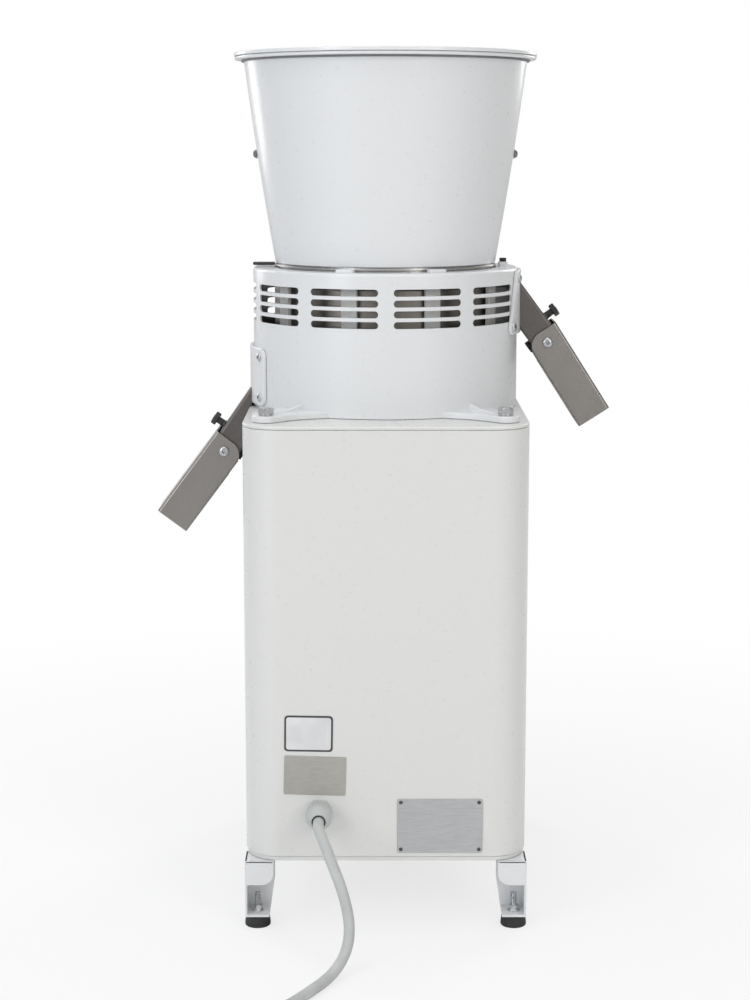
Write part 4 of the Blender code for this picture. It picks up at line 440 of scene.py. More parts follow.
# Dark grey for the ring under the hopper rim: painted shade for the shadow gap there.
RIM_SHADE_GREY = moulded("grey painted rim shade", (0.2, 0.2, 0.21), 0.6, 900, 0.00003)
RED = moulded("red plastic", (0.55, 0.03, 0.025), 0.3, 1200, 0.00002, 0.3)
GREEN = moulded("green plastic", (0.03, 0.33, 0.10), 0.3, 1200, 0.00002, 0.3)
CAST = rough_cast("grey casting", (0.26, 0.27, 0.28), 0.55, 0.5, 500, 0.00015)
STONE = rough_cast("grinding stone", (0.50, 0.45, 0.38), 0.0, 0.88, 900, 0.0004)
POST = moulded("white post", (0.76, 0.755, 0.75), 0.35, 800, 0.00003)
LABEL = moulded("plain label", (0.80, 0.80, 0.81), 0.4, 500, 0.00001)
LABEL_FRAME = moulded("label frame", (0.05, 0.05, 0.055), 0.4, 600, 0.00001)
FOIL = brushed("foil plate", (0.56, 0.54, 0.505), (0.06, 1, 1), 0.42, 0.000004)
RATING = brushed("rating plate", (0.58, 0.59, 0.60), (0.06, 1, 1), 0.42, 0.000004)
DARK_RIVET = moulded("dark rivet", (0.06, 0.06, 0.065), 0.35, 900, 0.00001)

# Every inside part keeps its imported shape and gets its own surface
CARRIED = {
    "bed_stone": STONE,
    "runner_stone": STONE,
    "runner_carrier": CAST,
    "flour_sweeper": STEEL_TURNED,
    "sieve_plate": STEEL_TURNED,
    "motor_shaft": BEARING,
    "motor_body": CAST,
    "motor_flange": CAST,
    "upper_bearing": BEARING,
    "lower_bearing": BEARING,
    "motor_fan_cover": STEEL_TURNED,
    "cooling_fan": BLACK,
    "motor_capacitor": GREY,
    "hopper_guard": STEEL_TURNED,
}
for node_name, look in CARRIED.items():
    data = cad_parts[node_name].data
    data.materials.clear()
    data.materials.append(look)


# The camera, the floor and the lights. Lamps: name, place, size, power, colour
LAMPS = (
    ("back right box", (-1.5, 2.3, 1.5), (0.9, 1.9), 15, (1, 0.985, 0.955)),
    ("back left box", (1.7, 2.1, 1.3), (0.8, 1.8), 17, (0.94, 0.97, 1)),
    ("top box", (0.2, 0.5, 2.6), (1.8, 1.8), 15, (1, 1, 1)),
    ("front right box", (-1.6, -2.2, 1.6), (1.0, 1.9), 17, (1, 1, 1)),
    ("front left box", (1.8, -2.0, 1.3), (0.8, 1.8), 13, (1, 1, 1)),
)
LAMP_AIM = 0.45
FLOOR_SIZE = 28
PLAIN = (1, 1, 1, 1)


def build_camera():
    camera_data = bpy.data.cameras.new("camera")
    camera_data.sensor_width = 36
    camera_data.lens = CAMERA_LENS
    camera = placed("camera", camera_data)
    camera.location = AXIS + Vector(CAMERA_PLACE)
    camera.rotation_euler = (CAMERA_TILT, 0, math.pi)
    bpy.context.scene.camera = camera
    bpy.context.scene.view_settings.view_transform = "Standard"


def build_floor():
    """A floor that turns plain white to the camera away from the machine."""
    work = bmesh.new()
    work.faces.new([work.verts.new((x, y, 0)) for x, y in rectangle(FLOOR_SIZE, FLOOR_SIZE)])
    floor = placed("floor", mesh_of(work, "floor"))
    look = bpy.data.materials.new("floor")
    look.use_nodes = True
    tree = look.node_tree
    shader = tree.nodes["Principled BSDF"]
    shader.inputs["Base Color"].default_value = (0.86, 0.86, 0.86, 1)
    shader.inputs["Roughness"].default_value = 0.9
    glow = add_node(tree, "ShaderNodeEmission", {"Color": PLAIN, "Strength": 1})
    path = add_node(tree, "ShaderNodeLightPath")
    coordinates = add_node(tree, "ShaderNodeTexCoord")
    distance = add_node(tree, "ShaderNodeVectorMath", operation="LENGTH")
    limits = {"From Min": 0.25, "From Max": 1.3, "To Min": 0.7, "To Max": 1}
    fade = add_node(tree, "ShaderNodeMapRange", limits, interpolation_type="SMOOTHSTEP")
    share = add_node(tree, "ShaderNodeMath", operation="MULTIPLY")
    mix = add_node(tree, "ShaderNodeMixShader")
    for source, target in (
        (coordinates.outputs["Object"], distance.inputs[0]),
        (distance.outputs["Value"], fade.inputs["Value"]),
        (fade.outputs["Result"], share.inputs[1]),
        (path.outputs["Is Camera Ray"], share.inputs[0]),
        (share.outputs[0], mix.inputs[0]),
        (shader.outputs[0], mix.inputs[1]),
        (glow.outputs[0], mix.inputs[2]),
        (mix.outputs[0], tree.nodes["Material Output"].inputs[0]),
    ):
        tree.links.new(source, target)
    floor.data.materials.append(look)


def build_world():
    """A plain studio: white to the camera, with greyer walls on both sides for the metal."""
    world = bpy.data.worlds.new("studio")
    world.use_nodes = True
    bpy.context.scene.world = world
    tree = world.node_tree
    backdrop = tree.nodes["Background"]
    backdrop.inputs["Color"].default_value = PLAIN
    backdrop.inputs["Strength"].default_value = 1
    studio = add_node(tree, "ShaderNodeBackground", {"Strength": 0.56})
    coordinates = add_node(tree, "ShaderNodeTexCoord")
    parts = add_node(tree, "ShaderNodeSeparateXYZ")
    sideways = add_node(tree, "ShaderNodeMapRange", {"From Min": -1})
    walls = add_node(tree, "ShaderNodeValToRGB")
    ramp = walls.color_ramp
    ramp.interpolation = "EASE"
    ramp.elements[0].position = 0.03
    ramp.elements[0].color = (0.55, 0.55, 0.54, 1)
    ramp.elements[1].position = 0.3
    ramp.elements[1].color = (0.99, 0.99, 0.98, 1)
    for position, colour in ((0.8, (0.98, 0.99, 1, 1)), (0.98, (0.78, 0.8, 0.83, 1))):
        ramp.elements.new(position).color = colour
    path = add_node(tree, "ShaderNodeLightPath")
    mix = add_node(tree, "ShaderNodeMixShader")
    for source, target in (
        (coordinates.outputs["Generated"], parts.inputs[0]),
        (parts.outputs["X"], sideways.inputs["Value"]),
        (sideways.outputs[0], walls.inputs[0]),
        (walls.outputs[0], studio.inputs["Color"]),
        (path.outputs["Is Camera Ray"], mix.inputs[0]),
        (studio.outputs[0], mix.inputs[1]),
        (backdrop.outputs[0], mix.inputs[2]),
        (mix.outputs[0], tree.nodes["World Output"].inputs[0]),
    ):
        tree.links.new(source, target)


def add_lamp(name, place, size, power, colour):
    data = bpy.data.lights.new(name, "AREA")
    data.shape = "RECTANGLE"
    data.size, data.size_y = size
    data.energy = power
    data.color = colour
    lamp = placed(name, data)
    lamp.location = AXIS + Vector(place)
    aim = AXIS + Vector((0, 0, LAMP_AIM)) - lamp.location
    lamp.rotation_euler = aim.to_track_quat("-Z", "Y").to_euler()


build_camera()
build_floor()
build_world()
for lamp in LAMPS:
    add_lamp(*lamp)

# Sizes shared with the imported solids
CABINET_WIDTH = 0.2734
CABINET_DEPTH = 0.36
CABINET_CORNER = 0.036
SHEET = 0.002
SHELL_BOTTOM = 0.074
SHELL_TOP = 0.4903
CABINET_TOP = 0.494
TOP_THICKNESS = 0.0034
BASE_THICKNESS = 0.0042
BACK_Y = CABINET_DEPTH / 2
FRONT_Y = -BACK_Y
DRUM_RADIUS = 0.133
DRUM_WALL = 0.003
DRUM_BOTTOM = CABINET_TOP + CLEARANCE
DRUM_TOP = DRUM_BOTTOM + 0.139
DRUM_EDGE = 0.003
RING_RADIUS = 0.111
RING_TOP = DRUM_TOP + 0.0042
HOPPER_BOTTOM = RING_TOP + CLEARANCE
SHAFT_BORE = 0.0116
PANEL_THICKNESS = 0.0015
SWITCH_OPENING = (0.0466, 0.0646)

# Button heads: radius, height and the socket's radius
PANEL_SCREW = (0.0046, 0.0024, 0.0014)
FLANGE_SCREW = (0.0046, 0.0026, 0.0014)
PIVOT_SCREW = (0.0053, 0.0032, 0.0019)

# The plates on the back: x, z, corner radius, thickness, surface, lean in degrees, lift
BACK_PLATES = (
    ("label_border", (0.0508, 0.0974), (0.1795, 0.2150), 0.0035, 0.0004, LABEL_FRAME, -0.9, 0),
    ("label_face", (0.0526, 0.0956), (0.1813, 0.2132), 0.0024, 0.0003, LABEL, -0.9, 0.00025),
    ("foil_plate", (0.0382, 0.0981), (0.1362, 0.1749), 0.0016, 0.0004, FOIL, -1.6, 0),
    ("rating_plate", (-0.0936, -0.0110), (0.0782, 0.1323), 0.0022, 0.0008, RATING, 0, 0),
)

# The four corners, with their signs along X and Y
CORNERS = (("back_left", 1, 1), ("front_left", 1, -1), ("back_right", -1, 1), ("front_right", -1, -1))


def button_head(name, size, place, rotation):
    """A domed screw head with a hexagonal socket, resting on its plane."""
    radius, height, socket = size
    floor, sunk, shoulder = height * 0.38, -CLEARANCE / 2, socket * 1.2
    profile = [(socket, floor), (socket, height * 0.98), (socket * 1.12, height)]
    for step in range(7):
        a = math.pi / 2 * step / 6
        profile.append((shoulder + (radius - shoulder) * math.sin(a), height * (0.22 + 0.78 * math.cos(a))))
    profile += [(radius, sunk), (0, sunk), (0, floor)]
    rings = [[(x, y, z) for x, y in hexagon(socket * 1.74)] for z in (height * 0.34, height * 1.001)]
    head = group([lathe(profile, 36), loft(rings, False)])
    piece(name, moved(head, place, rotation), ZINC, "mill")


def build_cabinet():
    """The wrapped shell, its plates, the screwed front panel and the bare plates on the back."""

    def footprint(inset):
        width, depth = CABINET_WIDTH - 2 * inset, CABINET_DEPTH - 2 * inset
        return box_outline(width, depth, CABINET_CORNER - inset, steps=16)

    height, middle = SHELL_TOP - SHELL_BOTTOM, (SHELL_TOP + SHELL_BOTTOM) / 2
    shell = moved(plate([footprint(0), footprint(SHEET)], height, edge=0.0007), (0, 0, middle))
    front_return = 0.018
    opening = (CABINET_WIDTH - 2 * CABINET_CORNER - 2 * front_return, height - 2 * front_return)
    cutters = [
        moved(plate([box_outline(*opening, 0.008)], 0.03, "XZ"), (0, FRONT_Y, middle)),
        moved(plate([circle(0.0101)], 0.01, "XZ"), (GLAND_X, BACK_Y, GLAND_Z)),
    ]
    piece("cabinet", boolean(shell, cutters), CABINET_WHITE, "mill", ["cabinet_shell"])
    top = plate([footprint(0), circle(SHAFT_BORE, points=MEDIUM)], TOP_THICKNESS, edge=0.0011, steps=4)
    top = moved(top, (0, 0, CABINET_TOP - TOP_THICKNESS / 2))
    piece("cabinet_top", top, CABINET_WHITE, "mill", ["top_plate"])
    vents = [slot(0.09, 0.007, (0, (i - 3) * 0.016)) for i in range(7)]
    base = plate([footprint(0.0012)] + vents, BASE_THICKNESS, edge=0.0009, steps=3)
    base = moved(base, (0, 0, SHELL_BOTTOM - CLEARANCE - BASE_THICKNESS / 2))
    piece("cabinet_base", base, CABINET_WHITE, "mill", ["base_plate"])
    build_front_panel(opening, front_return, middle)
    build_back_plates()


def build_front_panel(opening, front_return, middle):
    """The screwed panel on the front, with the opening for the switch."""
    inset = 0.009
    width, height = opening[0] + front_return, opening[1] + front_return
    face = FRONT_Y - CLEARANCE - PANEL_THICKNESS
    hole = rectangle(*SWITCH_OPENING, (0, SWITCH_Z - middle))
    outline = box_outline(width, height, 0.006, steps=8)
    panel = plate([outline, hole], PANEL_THICKNESS, "XZ", edge=0.0005, steps=3)
    panel = moved(panel, (0, face + PANEL_THICKNESS / 2, middle))
    piece("panel", panel, CABINET_WHITE, "mill", ["front_panel"])
    for i, x in enumerate((-1, 1)):
        for j, z in enumerate((-1, 0, 1)):
            place = (x * (width / 2 - inset), face, middle + z * (height / 2 - inset))
            button_head(f"panel_screw_{i}_{j}", PANEL_SCREW, place, (math.pi / 2, 0, 0))


def build_back_plates():
    """Bare plates where the machine carries its labels: nothing is printed on them."""
    face = BACK_Y + 0.00012
    for name, (left, right), (low, high), corner, thickness, look, lean, lift in BACK_PLATES:
        outline = box_outline(right - left, high - low, corner, steps=8)
        body = plate([outline], thickness, "XZ", edge=thickness * 0.3)
        middle = ((left + right) / 2, face + lift + thickness / 2, (low + high) / 2)
        piece(name, moved(body, middle, (0, math.radians(lean), 0)), look, "mill")
    rivet = [(0, 0.0011), (0.0009, 0.001), (0.0016, 0.0006), (0.0019, 0), (0, 0)]
    for i, x in enumerate((-0.0900, -0.0146)):
        for j, z in enumerate((0.0817, 0.1288)):
            head = moved(lathe(rivet, 24), (x, face + 0.0008, z), (-math.pi / 2, 0, 0))
            piece(f"plate_rivet_{i}_{j}", head, DARK_RIVET, "mill")


# Legs and levelling feet
LEG_TOP = SHELL_BOTTOM - CLEARANCE - BASE_THICKNESS - CLEARANCE
LEG_BOTTOM = 0.0123
FOOT_X = CABINET_WIDTH / 2 - 0.0115
FOOT_INSET = 0.0145
FOOT_Y = CABINET_DEPTH / 2 - FOOT_INSET


def nut(across, height, bore):
    """A hexagon nut with chamfered corners."""
    body = moved(plate([hexagon(across), circle(bore, points=24)], height, edge=0.0003), (0, 0, height / 2))
    flat, corner = across * 0.53, across * 0.565
    chamfer = [
        (0, -OVERRUN), (flat, -OVERRUN), (flat, 0), (corner, height * 0.2), (corner, height * 0.8),
        (flat, height), (flat, height + OVERRUN), (0, height + OVERRUN),
    ]
    return boolean(body, [lathe(chamfer, 36)], "INTERSECT")


def thread(radius, low, high):
    """A threaded rod drawn as close rings with a slight lean."""
    sides, pitch = 24, 0.001
    steps = 4 * int((high - low) / pitch)
    rings = []
    for i in range(steps + 1):
        z = low + (high - low) * i / steps
        depth = (0, 0.5, 1, 0.5)[i % 4] * pitch * 0.5
        ring = circle(radius - depth, points=sides)
        rings.append([(x, y, z + 0.3 * pitch * k / sides) for k, (x, y) in enumerate(ring)])
    return loft(rings)


def build_legs():
    for name, side_x, side_y in CORNERS:
        build_leg(name, side_x, side_y)
        build_foot(name, side_x * FOOT_X, side_y * FOOT_Y)


def build_leg(name, side_x, side_y):
    """A bracket bent from one sheet: an outer web, a flange at each side, a floor and a roof."""
    width, depth, tab, foot_width, bend = 0.028, 0.03, 0.0245, 0.0235, 0.0024
    height = LEG_TOP - LEG_BOTTOM
    outer = side_x * CABINET_WIDTH / 2
    middle_y = side_y * (FOOT_Y - (depth / 2 - FOOT_INSET))
    edge_y = side_y * (depth - SHEET) / 2
    foot_place = (side_x * FOOT_X, side_y * FOOT_Y)

    def flange(points, radii, arc, y, **edges):
        shape = [(outer - side_x * x, LEG_TOP - z) for x, z in rounded(points, radii, arc)]
        return moved(plate([shape], SHEET, "XZ", **edges), (0, middle_y + y, 0))

    web = plate([box_outline(SHEET, depth, SHEET * 0.49, steps=4)], height, edge=0.0003)
    short = [(0, tab), (0, 0), (width, 0), (width, tab)]
    long = [(0, 0), (width, 0), (width, tab), (foot_width, height), (0, height)]
    parts = [
        moved(web, (outer - side_x * SHEET / 2, middle_y, LEG_BOTTOM + height / 2)),
        flange(short, [0, bend, bend, 0.013], 10, edge_y, edge=0.0007, steps=3),
        flange(long, [0, bend, 0.02, bend, 0], 6, -edge_y),
    ]
    floor_hole = circle(0.0034, foot_place, 24)
    for reach, z, holes in (
        (foot_width, LEG_BOTTOM + SHEET / 2, [floor_hole]), (width, LEG_TOP - SHEET / 2, [])
    ):
        outline = box_outline(reach, depth, 0.001, (outer - side_x * reach / 2, middle_y), 4)
        parts.append(moved(plate([outline] + holes, SHEET), (0, 0, z)))
    piece("leg_bracket_" + name, group(parts), WHITE, "mill", ["leg_" + name])
    place = (*foot_place, LEG_BOTTOM + SHEET)
    skirt = [(0.0033, 0), (0.0062, 0), (0.0062, 0.0008), (0.0044, 0.003), (0.0033, 0.003)]
    washer = lathe(rounded(skirt, [0, 0.0003, 0.0003, 0.0006, 0], 4), MEDIUM, closed=True)
    piece("foot_washer_" + name, moved(washer, place), ZINC, "mill")
    lock = moved(nut(0.0088, 0.0056, 0.0031), place, (0, 0, 0.3))
    piece("foot_lock_nut_" + name, moved(lock, (0, 0, 0.0006)), ZINC, "mill")


def build_foot(name, x, y):
    """A ribbed rubber pad on a threaded stud."""
    profile = [
        (0, 0.0118), (0.0112, 0.0118), (0.0117, 0.0095), (0.0125, 0.0035), (0.0125, 0.0008),
        (0.0118, 0), (0.0085, 0), (0.0075, 0.0008), (0, 0.0008),
    ]
    radii = [0, 0.0012, 0.002, 0.0006, 0.0004, 0.0003, 0.0003, 0.0003, 0]
    pad = lathe(rounded(profile, radii, 5, closed=False), MEDIUM)
    body = "foot_" + name
    piece("pad_" + name, moved(pad, (x, y, 0)), RUBBER, body, ["levelling_foot_" + name])
    piece("stud_" + name, moved(thread(0.003, 0.0113, 0.0325), (x, y, 0)), ZINC, body)


# Mill housing, chamber and adjusting ring
# The second colour is painted shade: near black on the drum's inside, where the lamps reach through the
# vents.
DRUM_PAINT_AND_INNER_SHADE = paint_with_inner_shade(
    "drum paint and inner painted shade", (0.765, 0.776, 0.79), (0.075, 0.07, 0.068),
    DRUM_RADIUS - DRUM_WALL / 2, DRUM_TOP - DRUM_WALL / 2
)
VENT_ROWS = 4
VENT_GROUPS = 10
VENT_ARC = math.radians(29.6)
VENT_HEIGHT = 0.0067
VENT_PITCH = 0.01023
VENT_DROP = 0.0183
EAR_X, EAR_Y = 0.114, 0.145
EAR_THICKNESS = 0.006
UPPER_TURN = math.pi / 2


def vent_cutters():
    """Four rows of slots in each group round the drum."""
    cutters = []
    width = 2 * DRUM_RADIUS * math.sin(VENT_ARC / 2)
    for index in range(VENT_GROUPS):
        turn = math.tau * (index + 0.5) / VENT_GROUPS
        if abs(turn - UPPER_TURN) < VENT_ARC / 2:
            continue
        for row in range(VENT_ROWS):
            z = DRUM_TOP - VENT_DROP - row * VENT_PITCH
            cutter = plate([slot(width, VENT_HEIGHT, steps=9)], 0.03, "XZ", edge=0.0001)
            cutters.append(moved(moved(cutter, (0, DRUM_RADIUS, z)), rotation=(0, 0, turn)))
    return group(cutters)


def ear(x, y):
    """A tongue that widens from its bolt to the drum with hollow flanks, and its upright rib."""
    direction = math.atan2(y, x)
    reach = math.hypot(x, y)
    tip, root, half = 0.0135, DRUM_RADIUS - 0.012, 0.033
    upper = [(root, half)]
    for step in range(9):
        t = step / 8
        along = DRUM_RADIUS + 0.001 + (reach - DRUM_RADIUS - 0.004) * t
        upper.append((along, tip + (half - 0.003 - tip) * (1 - t) ** 2))
    turns = [math.pi * k / 16 for k in range(2, 15)]
    nose = [(reach + tip * math.sin(a), tip * math.cos(a)) for a in turns]
    outline = upper + nose + [(a, -b) for a, b in reversed(upper)]
    turn = Matrix.Rotation(direction, 2)
    outline = [tuple(turn @ Vector(point)) for point in outline]
    body = plate([outline, circle(0.0043, (x, y), 32)], EAR_THICKNESS, edge=0.001, steps=3)
    rib_start, rib_end, rib_low = DRUM_RADIUS - 0.002, reach - 0.0095, 0.003
    rib_shape = [(rib_start, rib_low), (rib_end, rib_low)]
    for step in range(9):
        share = 1 - step / 8
        rib_shape.append((rib_start + (rib_end - rib_start) * share, 0.0066 + 0.006 * (1 - share) ** 2))
    rib = plate([rib_shape], 0.0036, "XZ", edge=0.0007)
    return group([moved(body, (0, 0, EAR_THICKNESS / 2)), moved(rib, rotation=(0, 0, direction))])


def build_housing():
    """The drum with its vents and duct openings, its ears and bolts, the lock block and the pads."""
    inner = DRUM_RADIUS - DRUM_WALL
    opening = RING_RADIUS + 2 * CLEARANCE
    foot, foot_top, roof = inner - 0.008, DRUM_BOTTOM + 0.004, DRUM_TOP - DRUM_WALL
    profile = [
        (DRUM_RADIUS, DRUM_TOP), (DRUM_RADIUS, DRUM_BOTTOM), (foot, DRUM_BOTTOM), (foot, foot_top),
        (inner, foot_top), (inner, roof), (opening, roof), (opening, DRUM_TOP),
    ]
    radii = [DRUM_EDGE, 0.0008, 0.0005, 0.0005, 0.0003, 0.001, 0.0005, 0.0008]
    drum = lathe(rounded(profile, radii, 7), FINE, closed=True)
    cutters = [vent_cutters()]
    for side, (low, high) in ((-1, UPPER_PORT), (1, LOWER_PORT)):
        passage = box(0.03, 0.0476, high - low + 0.0036)
        cutters.append(moved(passage, (side * DRUM_RADIUS, 0, (low + high) / 2)))
    piece("drum", boolean(drum, cutters), DRUM_PAINT_AND_INNER_SHADE, "mill", ["mill_housing"])
    for name, side_x, side_y in CORNERS:
        x, y = side_x * EAR_X, side_y * EAR_Y
        piece("ear_" + name, moved(ear(x, y), (0, 0, DRUM_BOTTOM)), WHITE, "mill")
        build_housing_bolt(name, x, y)
    build_lock_block()
    build_drum_tabs()


def build_housing_bolt(name, x, y):
    """A hexagon bolt with a dished, chamfered head on a washer."""
    washer_height, across, height = 0.0014, 0.013, 0.0055
    washer = plate([circle(0.0075), circle(0.0042, points=24)], washer_height, edge=0.0003)
    head = moved(plate([hexagon(across)], height, edge=0.0003), (0, 0, height / 2))
    chamfer = [
        (0, -OVERRUN), (across * 0.6, -OVERRUN), (across * 0.6, height * 0.75),
        (across * 0.5, height * 1.01), (across * 0.5, height + OVERRUN), (0, height + OVERRUN),
    ]
    head = boolean(head, [lathe(chamfer, 48)], "INTERSECT")
    dish = [
        (0, height - 0.0003), (across * 0.38, height - 0.0003), (across * 0.4, height + 0.0001),
        (across * 0.43, height + 0.0001), (across * 0.44, height - 0.0006),
    ]
    head = moved(group([head, lathe(dish, 48)]), (0, 0, washer_height), (0, 0, x * 9))
    bolt = group([moved(washer, (0, 0, washer_height / 2)), head])
    place = (x, y, DRUM_BOTTOM + EAR_THICKNESS + CLEARANCE)
    piece("bolt_" + name, moved(bolt, place), ZINC, "mill", ["housing_bolt_" + name])


def build_lock_block():
    """The block on the drum's top that carries the ring's lock screw, and the knurled screw."""
    x, height, sunk, points = -0.1185, 0.0045, 0.001, 72
    block = plate([box_outline(0.009, 0.018, 0.0022)], height + sunk, edge=0.0008, steps=3)
    piece("lock_block", moved(block, (x, 0, DRUM_TOP + (height - sunk) / 2)), WHITE, "mill")
    knurl = [circle(0.0032 if i % 4 < 2 else 0.0035, points=points)[i] for i in range(points)]
    head = moved(plate([knurl], 0.0035, edge=0.0003), (0, 0, 0.00175))
    screw = group([head, disc(0.0017, 0, -0.004, 24)])
    place = (x, 0, DRUM_TOP + height + CLEARANCE)
    piece("lock_screw_head", moved(screw, place), BLACK, "lock_screw", ["ring_lock_screw"])


def build_drum_tabs():
    """Two low white pads on the drum's top, close to the ring."""
    reach = 0.1195
    for name, angle in (("left", math.radians(19)), ("right", math.radians(-24))):
        tab = plate([box_outline(0.017, 0.0085, 0.0012)], 0.0032, edge=0.0006)
        place = (reach * math.sin(angle), reach * math.cos(angle), DRUM_TOP + 0.0014)
        piece("drum_tab_" + name, moved(tab, place, (0, 0, -angle)), WHITE, "mill")


CHAMBER_RADIUS = 0.106
JACKET_RADIUS = 0.1115


def build_chamber():
    """The stainless bowl with its ports and the jacket behind the vents, and the posts round it."""
    radius, wall = CHAMBER_RADIUS, 0.002
    bottom, top = DRUM_BOTTOM, RING_TOP - 0.01
    jacket_top, jacket_bottom = RING_TOP - 0.0215, RING_TOP - 0.062
    profile = [
        (radius, top), (radius, jacket_top), (JACKET_RADIUS, jacket_top), (JACKET_RADIUS, jacket_bottom),
        (radius, jacket_bottom), (radius, bottom), (SHAFT_BORE, bottom), (SHAFT_BORE, bottom + wall),
        (radius - wall, bottom + wall), (radius - wall, top),
    ]
    radii = [0.0006, 0.0003, 0.0006, 0.0006, 0.0003, 0.003, 0.0004, 0.0004, 0.002, 0.0006]
    bowl = lathe(rounded(profile, radii, 5), FINE, closed=True)
    ports = []
    for side, (low, high) in ((-1, UPPER_PORT), (1, LOWER_PORT)):
        ports.append(moved(box(0.05, 0.044, high - low), (side * radius, 0, (low + high) / 2)))
    piece("chamber_bowl", boolean(bowl, ports), STEEL_INSIDE, "mill", ["milling_chamber"])
    post_radius, width, depth, foot, posts = 0.1165, 0.016, 0.004, 0.0015, 9
    start, height = CABINET_TOP + CLEARANCE, DRUM_TOP - DRUM_WALL - CABINET_TOP - 2 * CLEARANCE
    edges = [circle(post_radius + offset, points=FINE) for offset in (depth / 2, -depth / 2)]
    cage = [moved(plate(edges, foot), (0, 0, start + foot / 2))]
    clear = math.asin((0.025 + width) / post_radius)
    for i in range(posts):
        angle = math.radians(22.5) + math.tau * i / posts
        if abs(math.remainder(angle - math.pi / 2, math.pi)) > clear:
            post = plate([box_outline(width, depth, 0.0009)], height, edge=0.0005)
            post = moved(post, (0, post_radius, start + height / 2))
            cage.append(moved(post, rotation=(0, 0, angle)))
    piece("posts", group(cage), POST, "mill", ["post_ring"])


def build_adjusting_ring():
    """The ring with a band between two necks, and its flat lever."""
    bottom, inner, neck, eye = RING_TOP - 0.021, RING_RADIUS - 0.0042, RING_RADIUS - 0.0024, 0.0243
    band_top, band_bottom, neck_end = RING_TOP - 0.0009, RING_TOP - 0.0031, RING_TOP - 0.0056
    web = RING_TOP - 0.004
    profile = [
        (neck, RING_TOP), (neck, band_top), (RING_RADIUS, band_top), (RING_RADIUS, band_bottom),
        (neck, band_bottom), (neck, neck_end), (RING_RADIUS, neck_end), (RING_RADIUS, bottom),
        (inner, bottom), (inner, web), (eye, web), (eye, RING_TOP),
    ]
    radii = [0.0003, 0.0003, 0.0007, 0.0007, 0.0003, 0.0003, 0.0005, 0.0005, 0.0005, 0.001, 0.0005, 0.0005]
    ring = lathe(rounded(profile, radii, 5), FINE, closed=True)
    piece("fineness_ring", ring, STEEL_TURNED, "adjuster", ["adjusting_ring"])
    start, reach, width, thick = RING_RADIUS + CLEARANCE, 0.1335, 0.0115, 0.003
    outline = rounded(rectangle(reach - start, width, ((reach + start) / 2, 0)), [0.0045, 0, 0, 0.0045], 8)
    lever = moved(plate([outline], thick, edge=0.001, steps=4), (0, 0, DRUM_TOP + 0.0012 + thick / 2))
    piece("fineness_lever", lever, BLACK, "adjuster", ["adjusting_lever"])


# Hopper, its rim, lid and side screws
HOPPER_LOW_RADIUS = 0.1105
HOPPER_HIGH_RADIUS = 0.1405
HOPPER_BULGE = 0.0012
HOPPER_HEIGHT = 0.1985
HOPPER_WALL = 0.002
RIM_RADIUS = 0.1495
RIM_THICKNESS = 0.0032
HOPPER_TOP = HOPPER_BOTTOM + HOPPER_HEIGHT
RIM_TOP = HOPPER_TOP + RIM_THICKNESS
GUARD_Z = HOPPER_BOTTOM + 0.107


def hopper_radius(height):
    share = height / HOPPER_HEIGHT
    straight = HOPPER_LOW_RADIUS + (HOPPER_HIGH_RADIUS - HOPPER_LOW_RADIUS) * share
    return straight + HOPPER_BULGE * math.sin(math.pi * share)


def build_hopper():
    """The cone with its floor, throat and rim, a dark ring under the rim as painted shade for the shadow
    gap there, the lid and the screws.
    """
    count, floor_rise, throat = 14, 0.032, 0.022
    heights = [HOPPER_HEIGHT * i / count for i in range(count + 1)]
    outside = [(hopper_radius(height), HOPPER_BOTTOM + height) for height in heights]
    rim = [(RIM_RADIUS, HOPPER_TOP), (RIM_RADIUS, RIM_TOP), (HOPPER_HIGH_RADIUS - HOPPER_WALL, RIM_TOP)]
    inside = [(r - HOPPER_WALL, z) for r, z in reversed(outside) if z > HOPPER_BOTTOM + floor_rise]
    funnel = [
        (hopper_radius(floor_rise) - HOPPER_WALL, HOPPER_BOTTOM + floor_rise),
        (throat, HOPPER_BOTTOM + 2 * HOPPER_WALL), (throat, RING_TOP - 0.004),
        (throat + HOPPER_WALL, RING_TOP - 0.004), (throat + HOPPER_WALL, HOPPER_BOTTOM),
    ]
    radii = [0.0012] + [0] * (count - 1) + [0.003, 0.0015, 0.0015, 0.003] + [0] * len(inside)
    radii += [0.012, 0.006, 0.0004, 0.0004, 0.001]
    shell = lathe(rounded(outside + rim + inside + funnel, radii, 7), FINE, closed=True)
    pin = moved(plate([circle(0.0028, points=24)], 0.4), (0, 0, GUARD_Z), (0, math.pi / 2, 0))
    piece("hopper_shell", boolean(shell, [pin]), WHITE, "adjuster", ["hopper"])
    inner, top = hopper_radius(HOPPER_HEIGHT) - HOPPER_WALL / 2, HOPPER_TOP + CLEARANCE
    outer, bottom = inner + 0.0035, top - 0.0023
    # A dark ring under the rim, as painted shade for the shadow gap between rim and cone.
    rim_shade_ring = [(inner, top), (outer, top), (outer, bottom), (inner, bottom)]
    rim_shade_ring = lathe(rounded(rim_shade_ring, [0, 0.0004, 0.0009, 0], 4), FINE, closed=True)
    piece("rim_painted_shade", rim_shade_ring, RIM_SHADE_GREY, "adjuster")
    build_lid()
    build_guard_screws()


